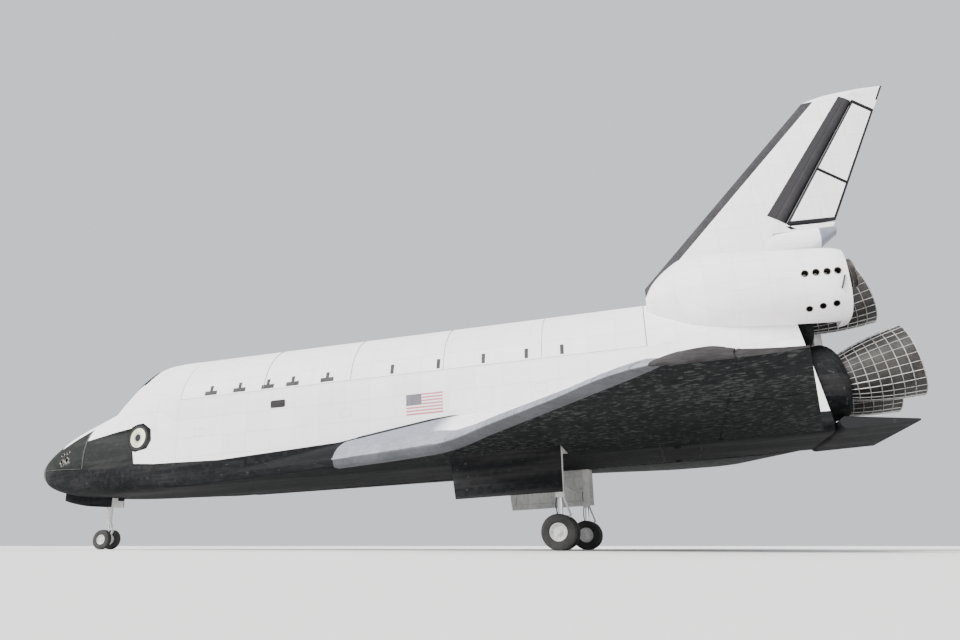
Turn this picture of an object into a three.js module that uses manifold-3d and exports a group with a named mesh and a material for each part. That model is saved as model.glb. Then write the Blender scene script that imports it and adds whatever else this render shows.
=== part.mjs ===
// A space shuttle orbiter, parked on its landing gear: a hollow crew cabin, an open payload bay under two
// clamshell doors, delta wings with elevons, a fin with a split rudder, and the engines at its tail.
//
// Units are millimetres. Most of it is drawn in the body frame: X runs aft from the nose tip, Y to
// starboard and Z up from the axis of the payload bay. The body then stands nose-down by PITCH on its gear,
// in the ground frame, whose origin is on the ground under the middle of the whole vehicle.
import * as THREE from "three";
import { mergeVertices } from "three/addons/utils/BufferGeometryUtils.js";
import Module from "manifold-3d";

const wasm = await Module();
wasm.setup();

// Driving dimensions

const PITCH = THREE.MathUtils.degToRad(3); // nose-down on the ground
const MAIN_GEAR_X = 23774; // station of the main wheels
const GROUND_Z = -6096; // the ground under the main wheels, in the body frame
const MIDDLE_X = 5724.7; // moves the ground frame's origin under the middle of the vehicle
const WHEELBASE = 20330;
const MAIN_TRACK = 3454; // from the centre plane to each main leg

const NOSE_CAP_END = 640;
const THRUSTER_MODULE_END = 3607;
const NOSE_SPLIT_Z = -1500; // the thruster module sits above it, the nose underbody below
const NOSE_UNDERBODY_END = 4200;
const BAY_START = 8636;
const BAY_END = 27200;
const BODY_RADIUS = 2667;
const BELLY_Z = -2970;

const GAP = 2; // between fixed pieces
const RUNNING_GAP = 12; // round a control surface's rounded front
const SLIDE_GAP = 6; // between the nose leg and the part of it that steers
const CABIN_WALL = 150;
const CABIN_ROOM = [4350, BAY_START - 200]; // front and back of the crew's room
const GLASS_LAYER = [60, 90]; // depth under the skin of the window glass

const DOOR_THICKNESS = 170;
const DOOR_HINGE = { y: 2640, z: 508 }; // the payload bay doors' hinge line, starboard
const SILL_DROP = 14;
const BAY_RADIUS = 2330;

const HATCH = {
  x: 6690,
  y: -2528,
  z: -850,
  radius: 508,
  gap: 18,
  window: 130,
  lean: 0.133, // radians that the skin there is turned from the centre plane
  depth: 120,
  pane: 50,
};

const WING_HINGE_X = 29235;
const ELEVON = { rootGap: 2940, split: 7930, splitGap: 40, tip: 11850 };
const WING_ROOT_Y = 2669;
const WING_TIP_Y = 11896;
const DIHEDRAL = 0.0612; // rise of the lower surface for each unit of span
const HINGE_THICKNESS = [640, 210]; // of the wing on the elevon hinge, at root and tip
const EDGE_STRIP = 400; // width of the leading-edge panels
const EDGE_START_Y = 3950;

const ATTACH_PADS = { fore: [4050, 0], aft: [27757, 2206], radius: 130, drop: 60 };
const BODY_FLAP = { x: 32918, z: -2762, radius: 190, chord: 2057, halfWidth: 3065 };

const FIN_ROOT = { z: 2616, front: 26467, back: 33284, thickness: 740 };
const FIN_TIP = { z: 10566, front: 34483, back: 37236, thickness: 410 };
const FIN_TOP = { bevelFrom: 10290, z: 10480, setback: 560 }; // its front corner is cut off
const FIN_HINGE_SHARE = 0.6; // where the rudder hinge lies along the chord
const RUDDER_Z = [5408, 10080]; // ends of the rudder's hinge cone
const RUDDER_SPLIT = 2560; // along the hinge from its lower end, between lower and upper panels
const RUDDER_FOOT = [500, 380]; // how far behind the hinge the foot turns level, on the fin and the panels
const FIN_EDGE = 330;

const MAIN_TYRE = { radius: 565, width: 406, rim: 290, y: 380, axle: 55 };
const NOSE_TYRE = { radius: 406, width: 224, rim: 205, y: 279, axle: 36 };
const NOSE_WELL = { front: 1450, back: 3890, halfWidth: 400, roof: -1750 };
const MAIN_WELL = { front: 20400, back: 24150, inner: 2790, outer: 4290, depth: 1000 };

// Colours

const paint = (color, roughness = 0.6, metalness = 0) =>
  new THREE.MeshStandardMaterial({ color, roughness, metalness });
const WHITE = paint(0xe9e7e6, 0.55);
const BLACK_TILE = paint(0x1d1f22, 0.6);
const GREY_CARBON = paint(0x6f7074, 0.5);
const DARK_SEAL = paint(0x4a4a4c, 0.55);
const SILVER = paint(0xb9bcc0, 0.3, 0.8);
const DARK_METAL = paint(0x3a3733, 0.4, 0.7);
const GEAR_WHITE = paint(0xd8d8d4, 0.4);
const RUBBER = paint(0x17171a, 0.85);
const GLASS = paint(0x11151a, 0.1);

// Solids

// A closed body from vertices and triangles, turned to face out.
function bodyOf(vertices, triangles) {
  const make = () =>
    new wasm.Manifold(
      new wasm.Mesh({
        numProp: 3,
        vertProperties: new Float32Array(vertices.flat()),
        triVerts: new Uint32Array(triangles.flat()),
      }),
    );
  const made = make();
  if (made.volume() > 0) return made;
  triangles.forEach((t) => t.reverse());
  return make();
}

// A body from one of three's geometries, placed by a matrix.
function solidOf(geometry, matrix = new THREE.Matrix4()) {
  const bare = geometry.clone();
  bare.deleteAttribute("normal");
  bare.deleteAttribute("uv");
  const merged = mergeVertices(bare.applyMatrix4(matrix), 1e-3);
  const position = merged.attributes.position;
  const vertices = Array.from({ length: position.count }, (_, i) => [
    position.getX(i),
    position.getY(i),
    position.getZ(i),
  ]);
  const index = Array.from(merged.index.array);
  const triangles = [];
  for (let i = 0; i < index.length; i += 3) triangles.push(index.slice(i, i + 3));
  return bodyOf(vertices, triangles);
}

// A skin through rings of equally many points, closed by a flat fan at each end.
function loft(rings) {
  const n = rings[0].length;
  const vertices = rings.flat();
  const triangles = [];
  for (let r = 0; r + 1 < rings.length; r++)
    for (let i = 0; i < n; i++) {
      const [a, b] = [r * n + i, r * n + ((i + 1) % n)];
      triangles.push([a, b, b + n], [a, b + n, a + n]);
    }
  [0, rings.length - 1].forEach((r) => {
    const middle = [0, 1, 2].map((k) => rings[r].reduce((sum, p) => sum + p[k], 0) / n);
    const hub = vertices.push(middle) - 1;
    for (let i = 0; i < n; i++) {
      const fan = [r * n + ((i + 1) % n), r * n + i, hub];
      triangles.push(r ? fan.reverse() : fan);
    }
  });
  return bodyOf(vertices, triangles);
}

const block = ([x0, x1], [y0, y1], [z0, z1]) =>
  solidOf(
    new THREE.BoxGeometry(x1 - x0, y1 - y0, z1 - z0),
    new THREE.Matrix4().makeTranslation((x0 + x1) / 2, (y0 + y1) / 2, (z0 + z1) / 2),
  );

// An outline of [x, z] points, drawn through from y0 to y1.
function sidePrism(outline, [y0, y1]) {
  const shape = new THREE.Shape(outline.map(([x, z]) => new THREE.Vector2(x, z)));
  const drawn = new THREE.ExtrudeGeometry(shape, { depth: y1 - y0, bevelEnabled: false });
  return solidOf(drawn.rotateX(Math.PI / 2).translate(0, y1, 0));
}

// An outline of [x, y] points, drawn up from z0 to z1.
function planPrism(outline, [z0, z1]) {
  const shape = new THREE.Shape(outline.map(([x, y]) => new THREE.Vector2(x, y)));
  const drawn = new THREE.ExtrudeGeometry(shape, { depth: z1 - z0, bevelEnabled: false });
  return solidOf(drawn.translate(0, 0, z0));
}

// Turns +Y to run from point a to point b, with its middle between them.
function along(a, b) {
  const [from, to] = [new THREE.Vector3(...a), new THREE.Vector3(...b)];
  const turn = new THREE.Quaternion().setFromUnitVectors(
    new THREE.Vector3(0, 1, 0),
    to.clone().sub(from).normalize(),
  );
  return new THREE.Matrix4().compose(from.add(to).divideScalar(2), turn, new THREE.Vector3(1, 1, 1));
}

function rod(a, b, radius, endRadius = radius, sides = 10) {
  const length = new THREE.Vector3(...a).distanceTo(new THREE.Vector3(...b));
  return solidOf(new THREE.CylinderGeometry(endRadius, radius, length, sides), along(a, b));
}

// A turned body: its profile holds [distance, radius] along the line that leaves start towards aim.
function turned(profile, start, aim, sides) {
  const points = profile.map(([distance, radius]) => new THREE.Vector2(radius, distance));
  const matrix = along(start, aim);
  matrix.setPosition(...start);
  return solidOf(new THREE.LatheGeometry(points, sides), matrix);
}

const joined = (...solids) => solids.reduce((all, next) => all.add(next));

// Rubber is a ring: its profile runs from the rim out round the tread and back.
function tyre({ radius, width, rim }, centre) {
  const half = width / 2;
  const profile = [
    [-0.42 * width, rim],
    [-half, 0.5 * (rim + radius)],
    [-0.4 * width, 0.96 * radius],
    [-0.2 * width, radius],
    [0.2 * width, radius],
    [0.4 * width, 0.96 * radius],
    [half, 0.5 * (rim + radius)],
    [0.42 * width, rim],
    [-0.42 * width, rim],
  ];
  const aim = [centre[0], centre[1] + 1, centre[2]];
  return turned(profile, centre, aim, 22);
}

// Two rims on one axle, as one body.
function wheelPair({ rim, width, y, axle }, [x, middle, z]) {
  const discs = [-1, 1].map((side) => {
    const at = middle + side * y;
    const half = 0.4 * width;
    return joined(
      rod([x, at - half, z], [x, at + half, z], rim * 0.975, rim * 0.975, 16),
      rod([x, at - half * 1.12, z], [x, at + half * 1.12, z], rim * 0.45, rim * 0.45, 10),
    );
  });
  return joined(...discs, rod([x, middle - y, z], [x, middle + y, z], axle));
}

// The body's skin, by stations: x, half width, keel z, waist z, crown z, and the powers of the
// superellipses below and above the waist.
const STATIONS = [
  [0, 70, -1640, -1570, -1500, 2, 2],
  [60, 260, -1830, -1570, -1310, 2, 2],
  [200, 480, -2020, -1575, -1130, 2.05, 2],
  [420, 680, -2190, -1585, -950, 2.15, 2],
  [NOSE_CAP_END, 840, -2310, -1600, -800, 2.3, 2],
  [1200, 1170, -2510, -1610, -470, 2.6, 2.05],
  [1900, 1480, -2680, -1605, -110, 3, 2.1],
  [2700, 1740, -2810, -1565, 210, 3.6, 2.15],
  [THRUSTER_MODULE_END, 1945, -2890, -1480, 510, 4.3, 2.2],
  [NOSE_UNDERBODY_END, 2080, -2925, -1400, 700, 4.8, 2.25],
  [4700, 2190, -2945, -1320, 900, 5.3, 2.3],
  [5300, 2310, -2962, -1180, 1490, 5.8, 2.35],
  [5900, 2415, -2970, -1000, 2080, 6.5, 2.35],
  [6400, 2490, -2970, -850, 2420, 7.5, 2.35],
  [7000, 2570, -2970, -600, 2600, 10, 2.3],
  [7800, 2640, -2970, -300, 2658, 16, 2.15],
  [BAY_START, BODY_RADIUS, BELLY_Z, 0, BODY_RADIUS, 40, 2],
  [BAY_END, BODY_RADIUS, BELLY_Z, 0, BODY_RADIUS, 40, 2],
  [29000, 2730, -2970, 0, 2650, 26, 2.1],
  [31000, 2850, -2960, 0, 2610, 18, 2.3],
  [33400, 2890, -2940, 0, 2560, 14, 2.4],
];
const RING_POINTS = 36;

function stationAt(x) {
  const i = Math.min(
    STATIONS.length - 2,
    STATIONS.findIndex((row, k) => k + 1 === STATIONS.length || STATIONS[k + 1][0] >= x),
  );
  const share = (x - STATIONS[i][0]) / (STATIONS[i + 1][0] - STATIONS[i][0]);
  return STATIONS[i].map((value, k) => value + share * (STATIONS[i + 1][k] - value));
}

// The body's section at x, drawn in by inset.
function bodyRing(x, inset = 0) {
  const [, half, keel, waist, crown, keelPower, crownPower] = stationAt(x);
  return Array.from({ length: RING_POINTS }, (_, i) => {
    const t = (2 * Math.PI * (i + 0.5)) / RING_POINTS;
    const [c, s] = [Math.cos(t), Math.sin(t)];
    const power = 2 / (s > 0 ? crownPower : keelPower);
    const height = s > 0 ? crown - waist - inset : waist - keel - inset;
    return [
      x,
      (half - inset) * Math.sign(c) * Math.abs(c) ** power,
      waist + height * Math.sign(s) * Math.abs(s) ** power,
    ];
  });
}

// The body between two stations, with every tabled station on the way.
function bodyLoft(from, to, inset = 0) {
  const between = STATIONS.map((row) => row[0]).filter((x) => x > from + 1 && x < to - 1);
  return loft([from, ...between, to].map((x) => bodyRing(x, inset)));
}

// The point of the upper skin over [x, y], drawn in by inset.
function skinPoint([x, y], inset = 0) {
  const [, half, , waist, crown, , power] = stationAt(x);
  const share = Math.min(1, Math.abs(y) / (half - inset));
  return [x, y, waist + (crown - waist - inset) * (1 - share ** power) ** (1 / power)];
}

// Forward fuselage

// Window corners on the starboard side, in plan [x, y], lower front corner first and round.
const WINDOWS = [
  [[4860, 70], [5090, 800], [5960, 640], [5860, 70]],
  [[5140, 890], [5640, 1500], [6330, 1130], [6020, 730]],
  [[5730, 1570], [6400, 1900], [6700, 1500], [6400, 1200]],
  [[6760, 180], [6760, 720], [7230, 720], [7230, 180]],
];

// A cut through the skin along the way the corners' surface faces.
function windowCut(corners, side) {
  const onSide = corners.map(([x, y]) => [x, y * side]);
  const [a, b, c] = onSide.map((corner) => new THREE.Vector3(...skinPoint(corner)));
  const out = b.clone().sub(a).cross(c.clone().sub(a)).normalize();
  if (out.z < 0) out.negate();
  const ring = (distance) =>
    onSide.map((corner) => {
      const p = new THREE.Vector3(...skinPoint(corner)).addScaledVector(out, distance);
      return [p.x, p.y, p.z];
    });
  return loft([ring(-420), ring(300)]);
}

function windowBand([shallow, deep], margin) {
  const x = [4640 + margin, 7420 - margin];
  const layer = bodyLoft(x[0], x[1], shallow).subtract(bodyLoft(x[0] - 1, x[1] + 1, deep));
  return layer.intersect(block(x, [-3000, 3000], [760 + margin, 3000]));
}

// A round cut square to the skin, which leans by HATCH.lean from the centre plane.
function hatchCut(radius) {
  const { x, y, z, lean } = HATCH;
  const end = (out) => [x - out * Math.sin(lean), y - out * Math.cos(lean), z];
  return rod(end(600), end(-700), radius, radius, 24);
}

const cabinWall = () => bodyLoft(THRUSTER_MODULE_END + GAP, BAY_START - GAP);
const cabinRoom = (wall) => bodyLoft(...CABIN_ROOM, wall);

function cabinShell() {
  const underbody = block(
    [THRUSTER_MODULE_END - 100, NOSE_UNDERBODY_END + GAP],
    [-3000, 3000],
    [-4000, NOSE_SPLIT_Z + GAP],
  );
  const windows = WINDOWS.flatMap((corners) => [-1, 1].map((side) => windowCut(corners, side)));
  const glassSlot = windowBand([GLASS_LAYER[0] - GAP, GLASS_LAYER[1] + GAP], 0);
  const hatchHole = hatchCut(HATCH.radius + HATCH.gap);
  return [underbody, cabinRoom(CABIN_WALL), glassSlot, hatchHole, ...windows].reduce(
    (shell, cut) => shell.subtract(cut),
    cabinWall(),
  );
}

const hatchPlug = () =>
  cabinWall()
    .subtract(cabinRoom(HATCH.depth))
    .intersect(hatchCut(HATCH.radius))
    .subtract(hatchCut(HATCH.window));

const hatchPane = () =>
  cabinWall()
    .subtract(cabinRoom(HATCH.pane))
    .intersect(hatchCut(HATCH.window - GAP));

function noseUnderbody() {
  const { front, back, halfWidth, roof } = NOSE_WELL;
  return bodyLoft(NOSE_CAP_END + GAP, NOSE_UNDERBODY_END)
    .intersect(block([0, NOSE_UNDERBODY_END], [-3000, 3000], [-4000, NOSE_SPLIT_Z]))
    .subtract(block([front, back], [-halfWidth, halfWidth], [-4000, roof]))
    .add(attachPad(ATTACH_PADS.fore));
}

// A round pad under the belly, where the vehicle is held from below.
function attachPad([x, y]) {
  const { radius, drop } = ATTACH_PADS;
  return rod([x, y, BELLY_Z - drop], [x, y, BELLY_Z + 200], radius, radius, 16);
}

const thrusterModule = () =>
  bodyLoft(NOSE_CAP_END + GAP, THRUSTER_MODULE_END).intersect(
    block([0, THRUSTER_MODULE_END], [-3000, 3000], [NOSE_SPLIT_Z + GAP, 3000]),
  );

// Middle fuselage and its doors

function midFuselage() {
  const room = rod([BAY_START + 60, 0, 0], [BAY_END - 60, 0, 0], BAY_RADIUS, BAY_RADIUS, 36);
  const sillTop = DOOR_HINGE.z - SILL_DROP;
  const above = block([BAY_START - 10, BAY_END + 10], [-3000, 3000], [sillTop, 3000]);
  const clearance = block(
    [BAY_START + 60, BAY_END - 60],
    [-BAY_RADIUS, BAY_RADIUS],
    [0, 3000],
  );
  return bodyLoft(BAY_START, BAY_END)
    .subtract(room)
    .subtract(above)
    .subtract(clearance);
}

// A curved panel between two radii over the bay, on one side, from the sill's height to the centre.
function bayPanel([inner, outer], side, [front, back], lowest, centreGap) {
  const steps = 9;
  const low = Math.asin(lowest / outer);
  const high = Math.PI / 2 - centreGap / outer;
  const arc = (radius) =>
    Array.from({ length: steps + 1 }, (_, i) => {
      const angle = low + ((high - low) * i) / steps;
      return [side * radius * Math.cos(angle), radius * Math.sin(angle)];
    });
  const outline = [...arc(outer), ...arc(inner).reverse()];
  const ring = (x) => outline.map(([y, z]) => [x, y, z]);
  // The outline bends round the bay, so its ends are closed quad by quad.
  const n = outline.length;
  const vertices = [...ring(front), ...ring(back)];
  const triangles = [];
  for (let i = 0; i < n; i++) {
    const next = (i + 1) % n;
    triangles.push([i, next, next + n], [i, next + n, i + n]);
  }
  for (let i = 0; i < steps; i++) {
    const [a, b, c, d] = [i, i + 1, n - 2 - i, n - 1 - i];
    triangles.push([c, b, a], [d, c, a]);
    triangles.push([a + n, b + n, c + n], [a + n, c + n, d + n]);
  }
  return bodyOf(vertices, triangles);
}

const bayDoor = (side) =>
  bayPanel(
    [BODY_RADIUS - DOOR_THICKNESS, BODY_RADIUS],
    side,
    [BAY_START + 20, BAY_END - 20],
    DOOR_HINGE.z - 80,
    12,
  ).subtract(block([BAY_START, BAY_END], [-3000, 3000], [0, DOOR_HINGE.z]));

// The radiator hangs inside the front part of each door.
const radiator = (side) =>
  bayPanel(
    [BODY_RADIUS - DOOR_THICKNESS - 70, BODY_RADIUS - DOOR_THICKNESS - 16],
    side,
    [BAY_START + 400, BAY_START + 13400],
    900,
    260,
  );

// Tail

// The slanted plane that closes the fuselage behind, as x at height z.
const basePlaneX = (z) => 31740 - 0.1616 * (z - 2600);

const behindBase = (offset) =>
  sidePrism(
    [
      [basePlaneX(6000) + offset, 6000],
      [45000, 6000],
      [45000, -6000],
      [basePlaneX(-6000) + offset, -6000],
    ],
    [-6000, 6000],
  );

const tailLoft = (inset) => bodyLoft(BAY_END + GAP, 33400, inset);

function aftFuselage() {
  const [x, y] = ATTACH_PADS.aft;
  const pads = [-1, 1].map((side) => attachPad([x, side * y]));
  return joined(tailLoft(0), ...pads).subtract(behindBase(0));
}

// Engines: the gimbal's place, and how far each points up and out, in degrees.
const ENGINES = [
  { name: "main_engine_top", at: [30709, 0, 1092], up: 16, out: 0, root: 1312 },
  { name: "main_engine_left", at: [31297, -1346, -1457], up: 10, out: -3.5, root: 1110 },
  { name: "main_engine_right", at: [31297, 1346, -1457], up: 10, out: 3.5, root: 1110 },
];
const BELL = [
  [1580, 300],
  [1580, 470],
  [1850, 650],
  [2300, 830],
  [2900, 990],
  [3550, 1108],
  [4267, 1194],
];
const BELL_WALL = 45;

function aimFrom(at, up, out) {
  const [pitch, yaw] = [up, out].map(THREE.MathUtils.degToRad);
  return [
    at[0] + Math.cos(pitch) * Math.cos(yaw),
    at[1] + Math.cos(pitch) * Math.sin(yaw),
    at[2] + Math.sin(pitch),
  ];
}

// An open bell on a neck that starts at root, from the bell's outer curve.
function bell(curve, wall, root, at, aim, sides) {
  const inside = curve.slice(2).map(([distance, radius]) => [distance, radius - wall]);
  const [neck, narrow] = curve;
  return turned(
    [[root, 0], [root, neck[1]], ...curve, ...inside.reverse(), [narrow[0] + wall, 0]],
    at,
    aim,
    sides,
  );
}

// A black plate over the base, with a dome round each engine's bell.
function heatShield() {
  const plate = tailLoft(90).intersect(behindBase(GAP)).subtract(behindBase(42));
  const domes = ENGINES.map(({ at, up, out }) =>
    turned(
      [
        [900, 0],
        [900, 1290],
        [1700, 1290],
        [1950, 1180],
        [2150, 900],
        [2150, 0],
      ],
      at,
      aimFrom(at, up, out),
      20,
    )
      .intersect(behindBase(GAP))
      .intersect(tailLoft(60)),
  );
  const holes = ENGINES.map(({ at, up, out }) =>
    turned(
      [
        [800, 0],
        [800, 620],
        [1850, 650 + RUNNING_GAP],
        [2200, 790 + RUNNING_GAP],
        [2400, 860],
        [2400, 0],
      ],
      at,
      aimFrom(at, up, out),
      20,
    ),
  );
  return holes.reduce((all, hole) => all.subtract(hole), joined(plate, ...domes));
}

// Engine pods on the shoulders: x, centre y, centre z, half width, half height, power.
const POD_STATIONS = [
  [27330, 1450, 2250, 500, 330, 2],
  [27600, 1480, 2300, 800, 720, 2],
  [28100, 1560, 2330, 1080, 1120, 2.1],
  [28900, 1700, 2280, 1280, 1510, 2.2],
  [30500, 2100, 2090, 1460, 1470, 2.3],
  [32200, 2350, 1890, 1430, 1340, 2.5],
  [33400, 2440, 1780, 1360, 1280, 2.7],
  [33700, 2440, 1760, 1280, 1200, 2.7],
];

function podSkin(side) {
  const points = 24;
  return loft(
    POD_STATIONS.map(([x, y, z, half, height, power]) =>
      Array.from({ length: points }, (_, i) => {
        const t = (2 * Math.PI * i) / points;
        const [c, s] = [Math.cos(t), Math.sin(t)];
        return [
          x,
          side * (y + half * Math.sign(c) * Math.abs(c) ** (2 / power)),
          z + height * Math.sign(s) * Math.abs(s) ** (2 / power),
        ];
      }),
    ),
  );
}

const POD_NOZZLE = { at: [32700, 2330, 2000], up: 10, out: 4, root: 702 };
const POD_BELL = [
  [900, 130],
  [900, 240],
  [1060, 370],
  [1250, 450],
  [1480, 500],
];

function enginePod(side) {
  const overFin = block([26000, 40000], side > 0 ? [-6000, 430] : [-430, 6000], [0, 8000]);
  const { at, up, out } = POD_NOZZLE;
  const place = [at[0], side * at[1], at[2]];
  const recess = turned(
    [
      [700, 0],
      [700, 480],
      [1400, 540],
      [1400, 0],
    ],
    place,
    aimFrom(place, up, side * out),
    16,
  );
  return [tailLoft(-GAP), overFin, behindPodFloor(side), recess].reduce(
    (pod, cut) => pod.subtract(cut),
    podSkin(side),
  );
}

// Keeps each pod clear of the heat shield: nothing of it stays behind the base below the engine deck.
function behindPodFloor(side) {
  const inboard = side > 0 ? [-6000, 2100] : [-2100, 6000];
  return behindBase(-1).intersect(block([26000, 40000], inboard, [-4000, 1500]));
}

// Fin and rudder

const finShare = (z) => (z - FIN_ROOT.z) / (FIN_TIP.z - FIN_ROOT.z);
const mix = (a, b, share) => a + share * (b - a);
const FIN_REACH = [-1000, 1000]; // a span in y that holds all of the fin
// Share of the chord, and of the half thickness there.
const FIN_PROFILE = [
  [0, 0.03],
  [0.015, 0.2],
  [0.05, 0.38],
  [0.15, 0.62],
  [0.3, 0.82],
  [FIN_HINGE_SHARE, 1],
  [1, 0.12],
];

function finRing([z, setback]) {
  const share = finShare(z);
  const front = mix(FIN_ROOT.front, FIN_TIP.front, share) + setback;
  const back = mix(FIN_ROOT.back, FIN_TIP.back, share);
  const half = mix(FIN_ROOT.thickness, FIN_TIP.thickness, share) / 2;
  const side = (sign) => FIN_PROFILE.map(([s, h]) => [mix(front, back, s), sign * h * half, z]);
  return [...side(1), ...side(-1).reverse()];
}

const finWhole = () =>
  loft(
    [
      [2200, 0],
      [5400, 0],
      [FIN_TOP.bevelFrom, 0],
      [FIN_TOP.z, FIN_TOP.setback],
    ].map(finRing),
  );

const hingePoint = (z) => {
  const at = (end) => mix(end.front, end.back, FIN_HINGE_SHARE);
  return [mix(at(FIN_ROOT), at(FIN_TIP), finShare(z)), 0, z];
};
const hingeRadius = (z) => mix(FIN_ROOT.thickness, FIN_TIP.thickness, finShare(z)) / 2;
// The hinge leans aft: unit vectors in [x, z] along it and forward across it.
const HINGE_LEAN = (() => {
  const [low, high] = RUDDER_Z.map(hingePoint);
  const length = Math.hypot(high[0] - low[0], high[2] - low[2]);
  return [(high[0] - low[0]) / length, (high[2] - low[2]) / length];
})();
const acrossHinge = (z, forward, up = 0) => {
  const [x, , height] = hingePoint(z);
  const [u, w] = HINGE_LEAN;
  return [x - w * forward + u * up, height + u * forward + w * up];
};

// The side outline of the rudder's space, drawn in by inset, from how far in front of the hinge. Its lower
// edge runs square to the hinge as far as foot, and level from there.
function rudderOutline(inset, forward, foot) {
  const [low, high] = RUDDER_Z;
  const [r0, r1] = RUDDER_Z.map(hingeRadius);
  const bottom = acrossHinge(low, -foot, inset);
  return [
    acrossHinge(low, forward(r0), inset),
    acrossHinge(high, forward(r1), -inset),
    acrossHinge(high, -3000, -inset),
    [39000, bottom[1]],
    bottom,
  ];
}

const rudderSpace = () =>
  sidePrism(rudderOutline(0, (radius) => radius + RUNNING_GAP, RUDDER_FOOT[0]), FIN_REACH);
const panelSpace = () =>
  sidePrism(rudderOutline(15, (radius) => -1.1 * radius, RUDDER_FOOT[1]), FIN_REACH);

function hingeCone(grow, shorten) {
  const [low, high] = RUDDER_Z;
  const end = (z, up) => {
    const [x, height] = acrossHinge(z, 0, up);
    return [x, 0, height];
  };
  return rod(
    end(low, shorten),
    end(high, -shorten),
    hingeRadius(low) + grow,
    hingeRadius(high) + grow,
    24,
  );
}

const CHUTE_HOUSING = [
  [31300, 4300, 120, 120],
  [31700, 4400, 300, 400],
  [32400, 4440, 370, 510],
  [33500, 4480, 360, 460],
  [34480, 4780, 230, 160],
];

function chuteHousing(grow) {
  const points = 16;
  return loft(
    CHUTE_HOUSING.map(([x, z, half, height], row) =>
      Array.from({ length: points }, (_, i) => {
        const t = (2 * Math.PI * i) / points;
        const [c, s] = [Math.cos(t), Math.sin(t)];
        return [
          x + (row ? grow : -grow),
          (half + grow) * Math.sign(c) * Math.abs(c) ** 0.8,
          z + (height + grow) * Math.sign(s) * Math.abs(s) ** 0.8,
        ];
      }),
    ),
  );
}

// The space in front of a line set back from the fin's leading edge.
function finEdgeSpace(width) {
  const line = (z) => mix(FIN_ROOT.front, FIN_TIP.front, finShare(z)) + width * Math.SQRT2;
  return sidePrism(
    [
      [line(1800), 1800],
      [20000, 1800],
      [20000, 12000],
      [line(10250), 10250],
    ],
    FIN_REACH,
  );
}

// Below the rudder the fin stops over the chute housing, and its root stops behind the bay doors.
const underRudder = () => block([32250, 40000], FIN_REACH, [0, 4900]);
const overDoors = () => block([20000, BAY_END + 120], FIN_REACH, [0, 4000]);

const finBox = () =>
  finWhole()
    .subtract(rudderSpace())
    .subtract(underRudder())
    .subtract(finEdgeSpace(FIN_EDGE))
    .subtract(tailLoft(-GAP))
    .subtract(overDoors())
    .subtract(chuteHousing(GAP));

const finEdge = () =>
  finWhole()
    .intersect(finEdgeSpace(FIN_EDGE - GAP))
    .subtract(tailLoft(-GAP))
    .subtract(overDoors());

function rudderPanel(side, upper) {
  const [low] = RUDDER_Z;
  const way = upper ? 1 : -1;
  const [near, far] = [3000, -4000];
  const edge = RUDDER_SPLIT + way * 8;
  const beyond = RUDDER_SPLIT + way * 8000;
  const corners = [
    [near, edge],
    [far, edge],
    [far, beyond],
    [near, beyond],
  ];
  const half = sidePrism(
    corners.map(([forward, up]) => acrossHinge(low, forward, up)),
    FIN_REACH,
  );
  const sidePart = block([30000, 40000], side > 0 ? [5, 1000] : [-1000, -5], [4000, 12000]);
  return finWhole()
    .intersect(panelSpace())
    .intersect(half)
    .intersect(sidePart)
    .subtract(hingeCone(1.7 * RUNNING_GAP, -400));
}

// Wings

// Span station, leading edge x, thickness and where it is greatest along the chord, the share of the
// chord over which the nose of the section curls up, and how much of that nose is a plain ramp.
const WING_STATIONS = [
  [WING_ROOT_Y, 8700, 1680, 0.47, 0.02, 1],
  [3300, 12200, 1580, 0.44, 0.03, 0.8],
  [EDGE_START_Y, 16000, 1470, 0.42, 0.04, 0.5],
  [4500, 18500, 1360, 0.4, 0.05, 0.25],
  [5000, 20060, 1260, 0.4, 0.06, 0.1],
  [5500, 20800, 1170, 0.4, 0.07, 0],
  [7000, 22240, 960, 0.4, 0.08, 0],
  [9500, 24740, 650, 0.4, 0.09, 0],
  [11500, 26740, 420, 0.4, 0.1, 0],
  [WING_TIP_Y, 27500, 330, 0.4, 0.1, 0],
];
const CHORD_SHARES = [0, 0.006, 0.02, 0.05, 0.12, 0.25, 0.42, 0.62];
const TRAILING_THICKNESS = 50;

const trailingX = (y) => 32748 - 0.1773 * y;
const wingFloor = (y) => BELLY_Z + 1 + DIHEDRAL * (y - WING_ROOT_Y);
const elevonRadius = (y) =>
  mix(HINGE_THICKNESS[0], HINGE_THICKNESS[1], (y - WING_ROOT_Y) / (WING_TIP_Y - WING_ROOT_Y)) / 2;

function wingRing([y, front, most, mostAt, curl, ramp], side) {
  const back = trailingX(y);
  const chord = back - front;
  const hinge = (WING_HINGE_X - front) / chord;
  const hingeThickness = 2 * elevonRadius(y);
  const thickness = (s) => {
    if (s >= hinge) return mix(hingeThickness, TRAILING_THICKNESS, (s - hinge) / (1 - hinge));
    if (s >= mostAt) {
      const t = (s - mostAt) / (hinge - mostAt);
      return mix(most, hingeThickness, t * (0.6 + 0.4 * t));
    }
    const u = s / mostAt;
    return most * mix(Math.sqrt(Math.max(0, 1 - (1 - u) ** 2)), u ** 0.9, ramp);
  };
  const floor = (s) =>
    wingFloor(y) + (s < curl ? 0.16 * most * (1 - s / curl) ** 2 : 0) + (s === 1 ? 60 : 0);
  const shares = [...CHORD_SHARES.map((s) => s * hinge * 1.25).filter((s) => s < hinge - 0.02), hinge, 1];
  const point = (s, z) => [mix(front, back, s), side * y, z];
  return [
    ...shares.map((s) => point(s, floor(s))),
    ...shares.slice(1).reverse().map((s) => point(s, floor(s) + thickness(s))),
  ];
}

const wingWhole = (side) => loft(WING_STATIONS.map((row) => wingRing(row, side)));

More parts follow.
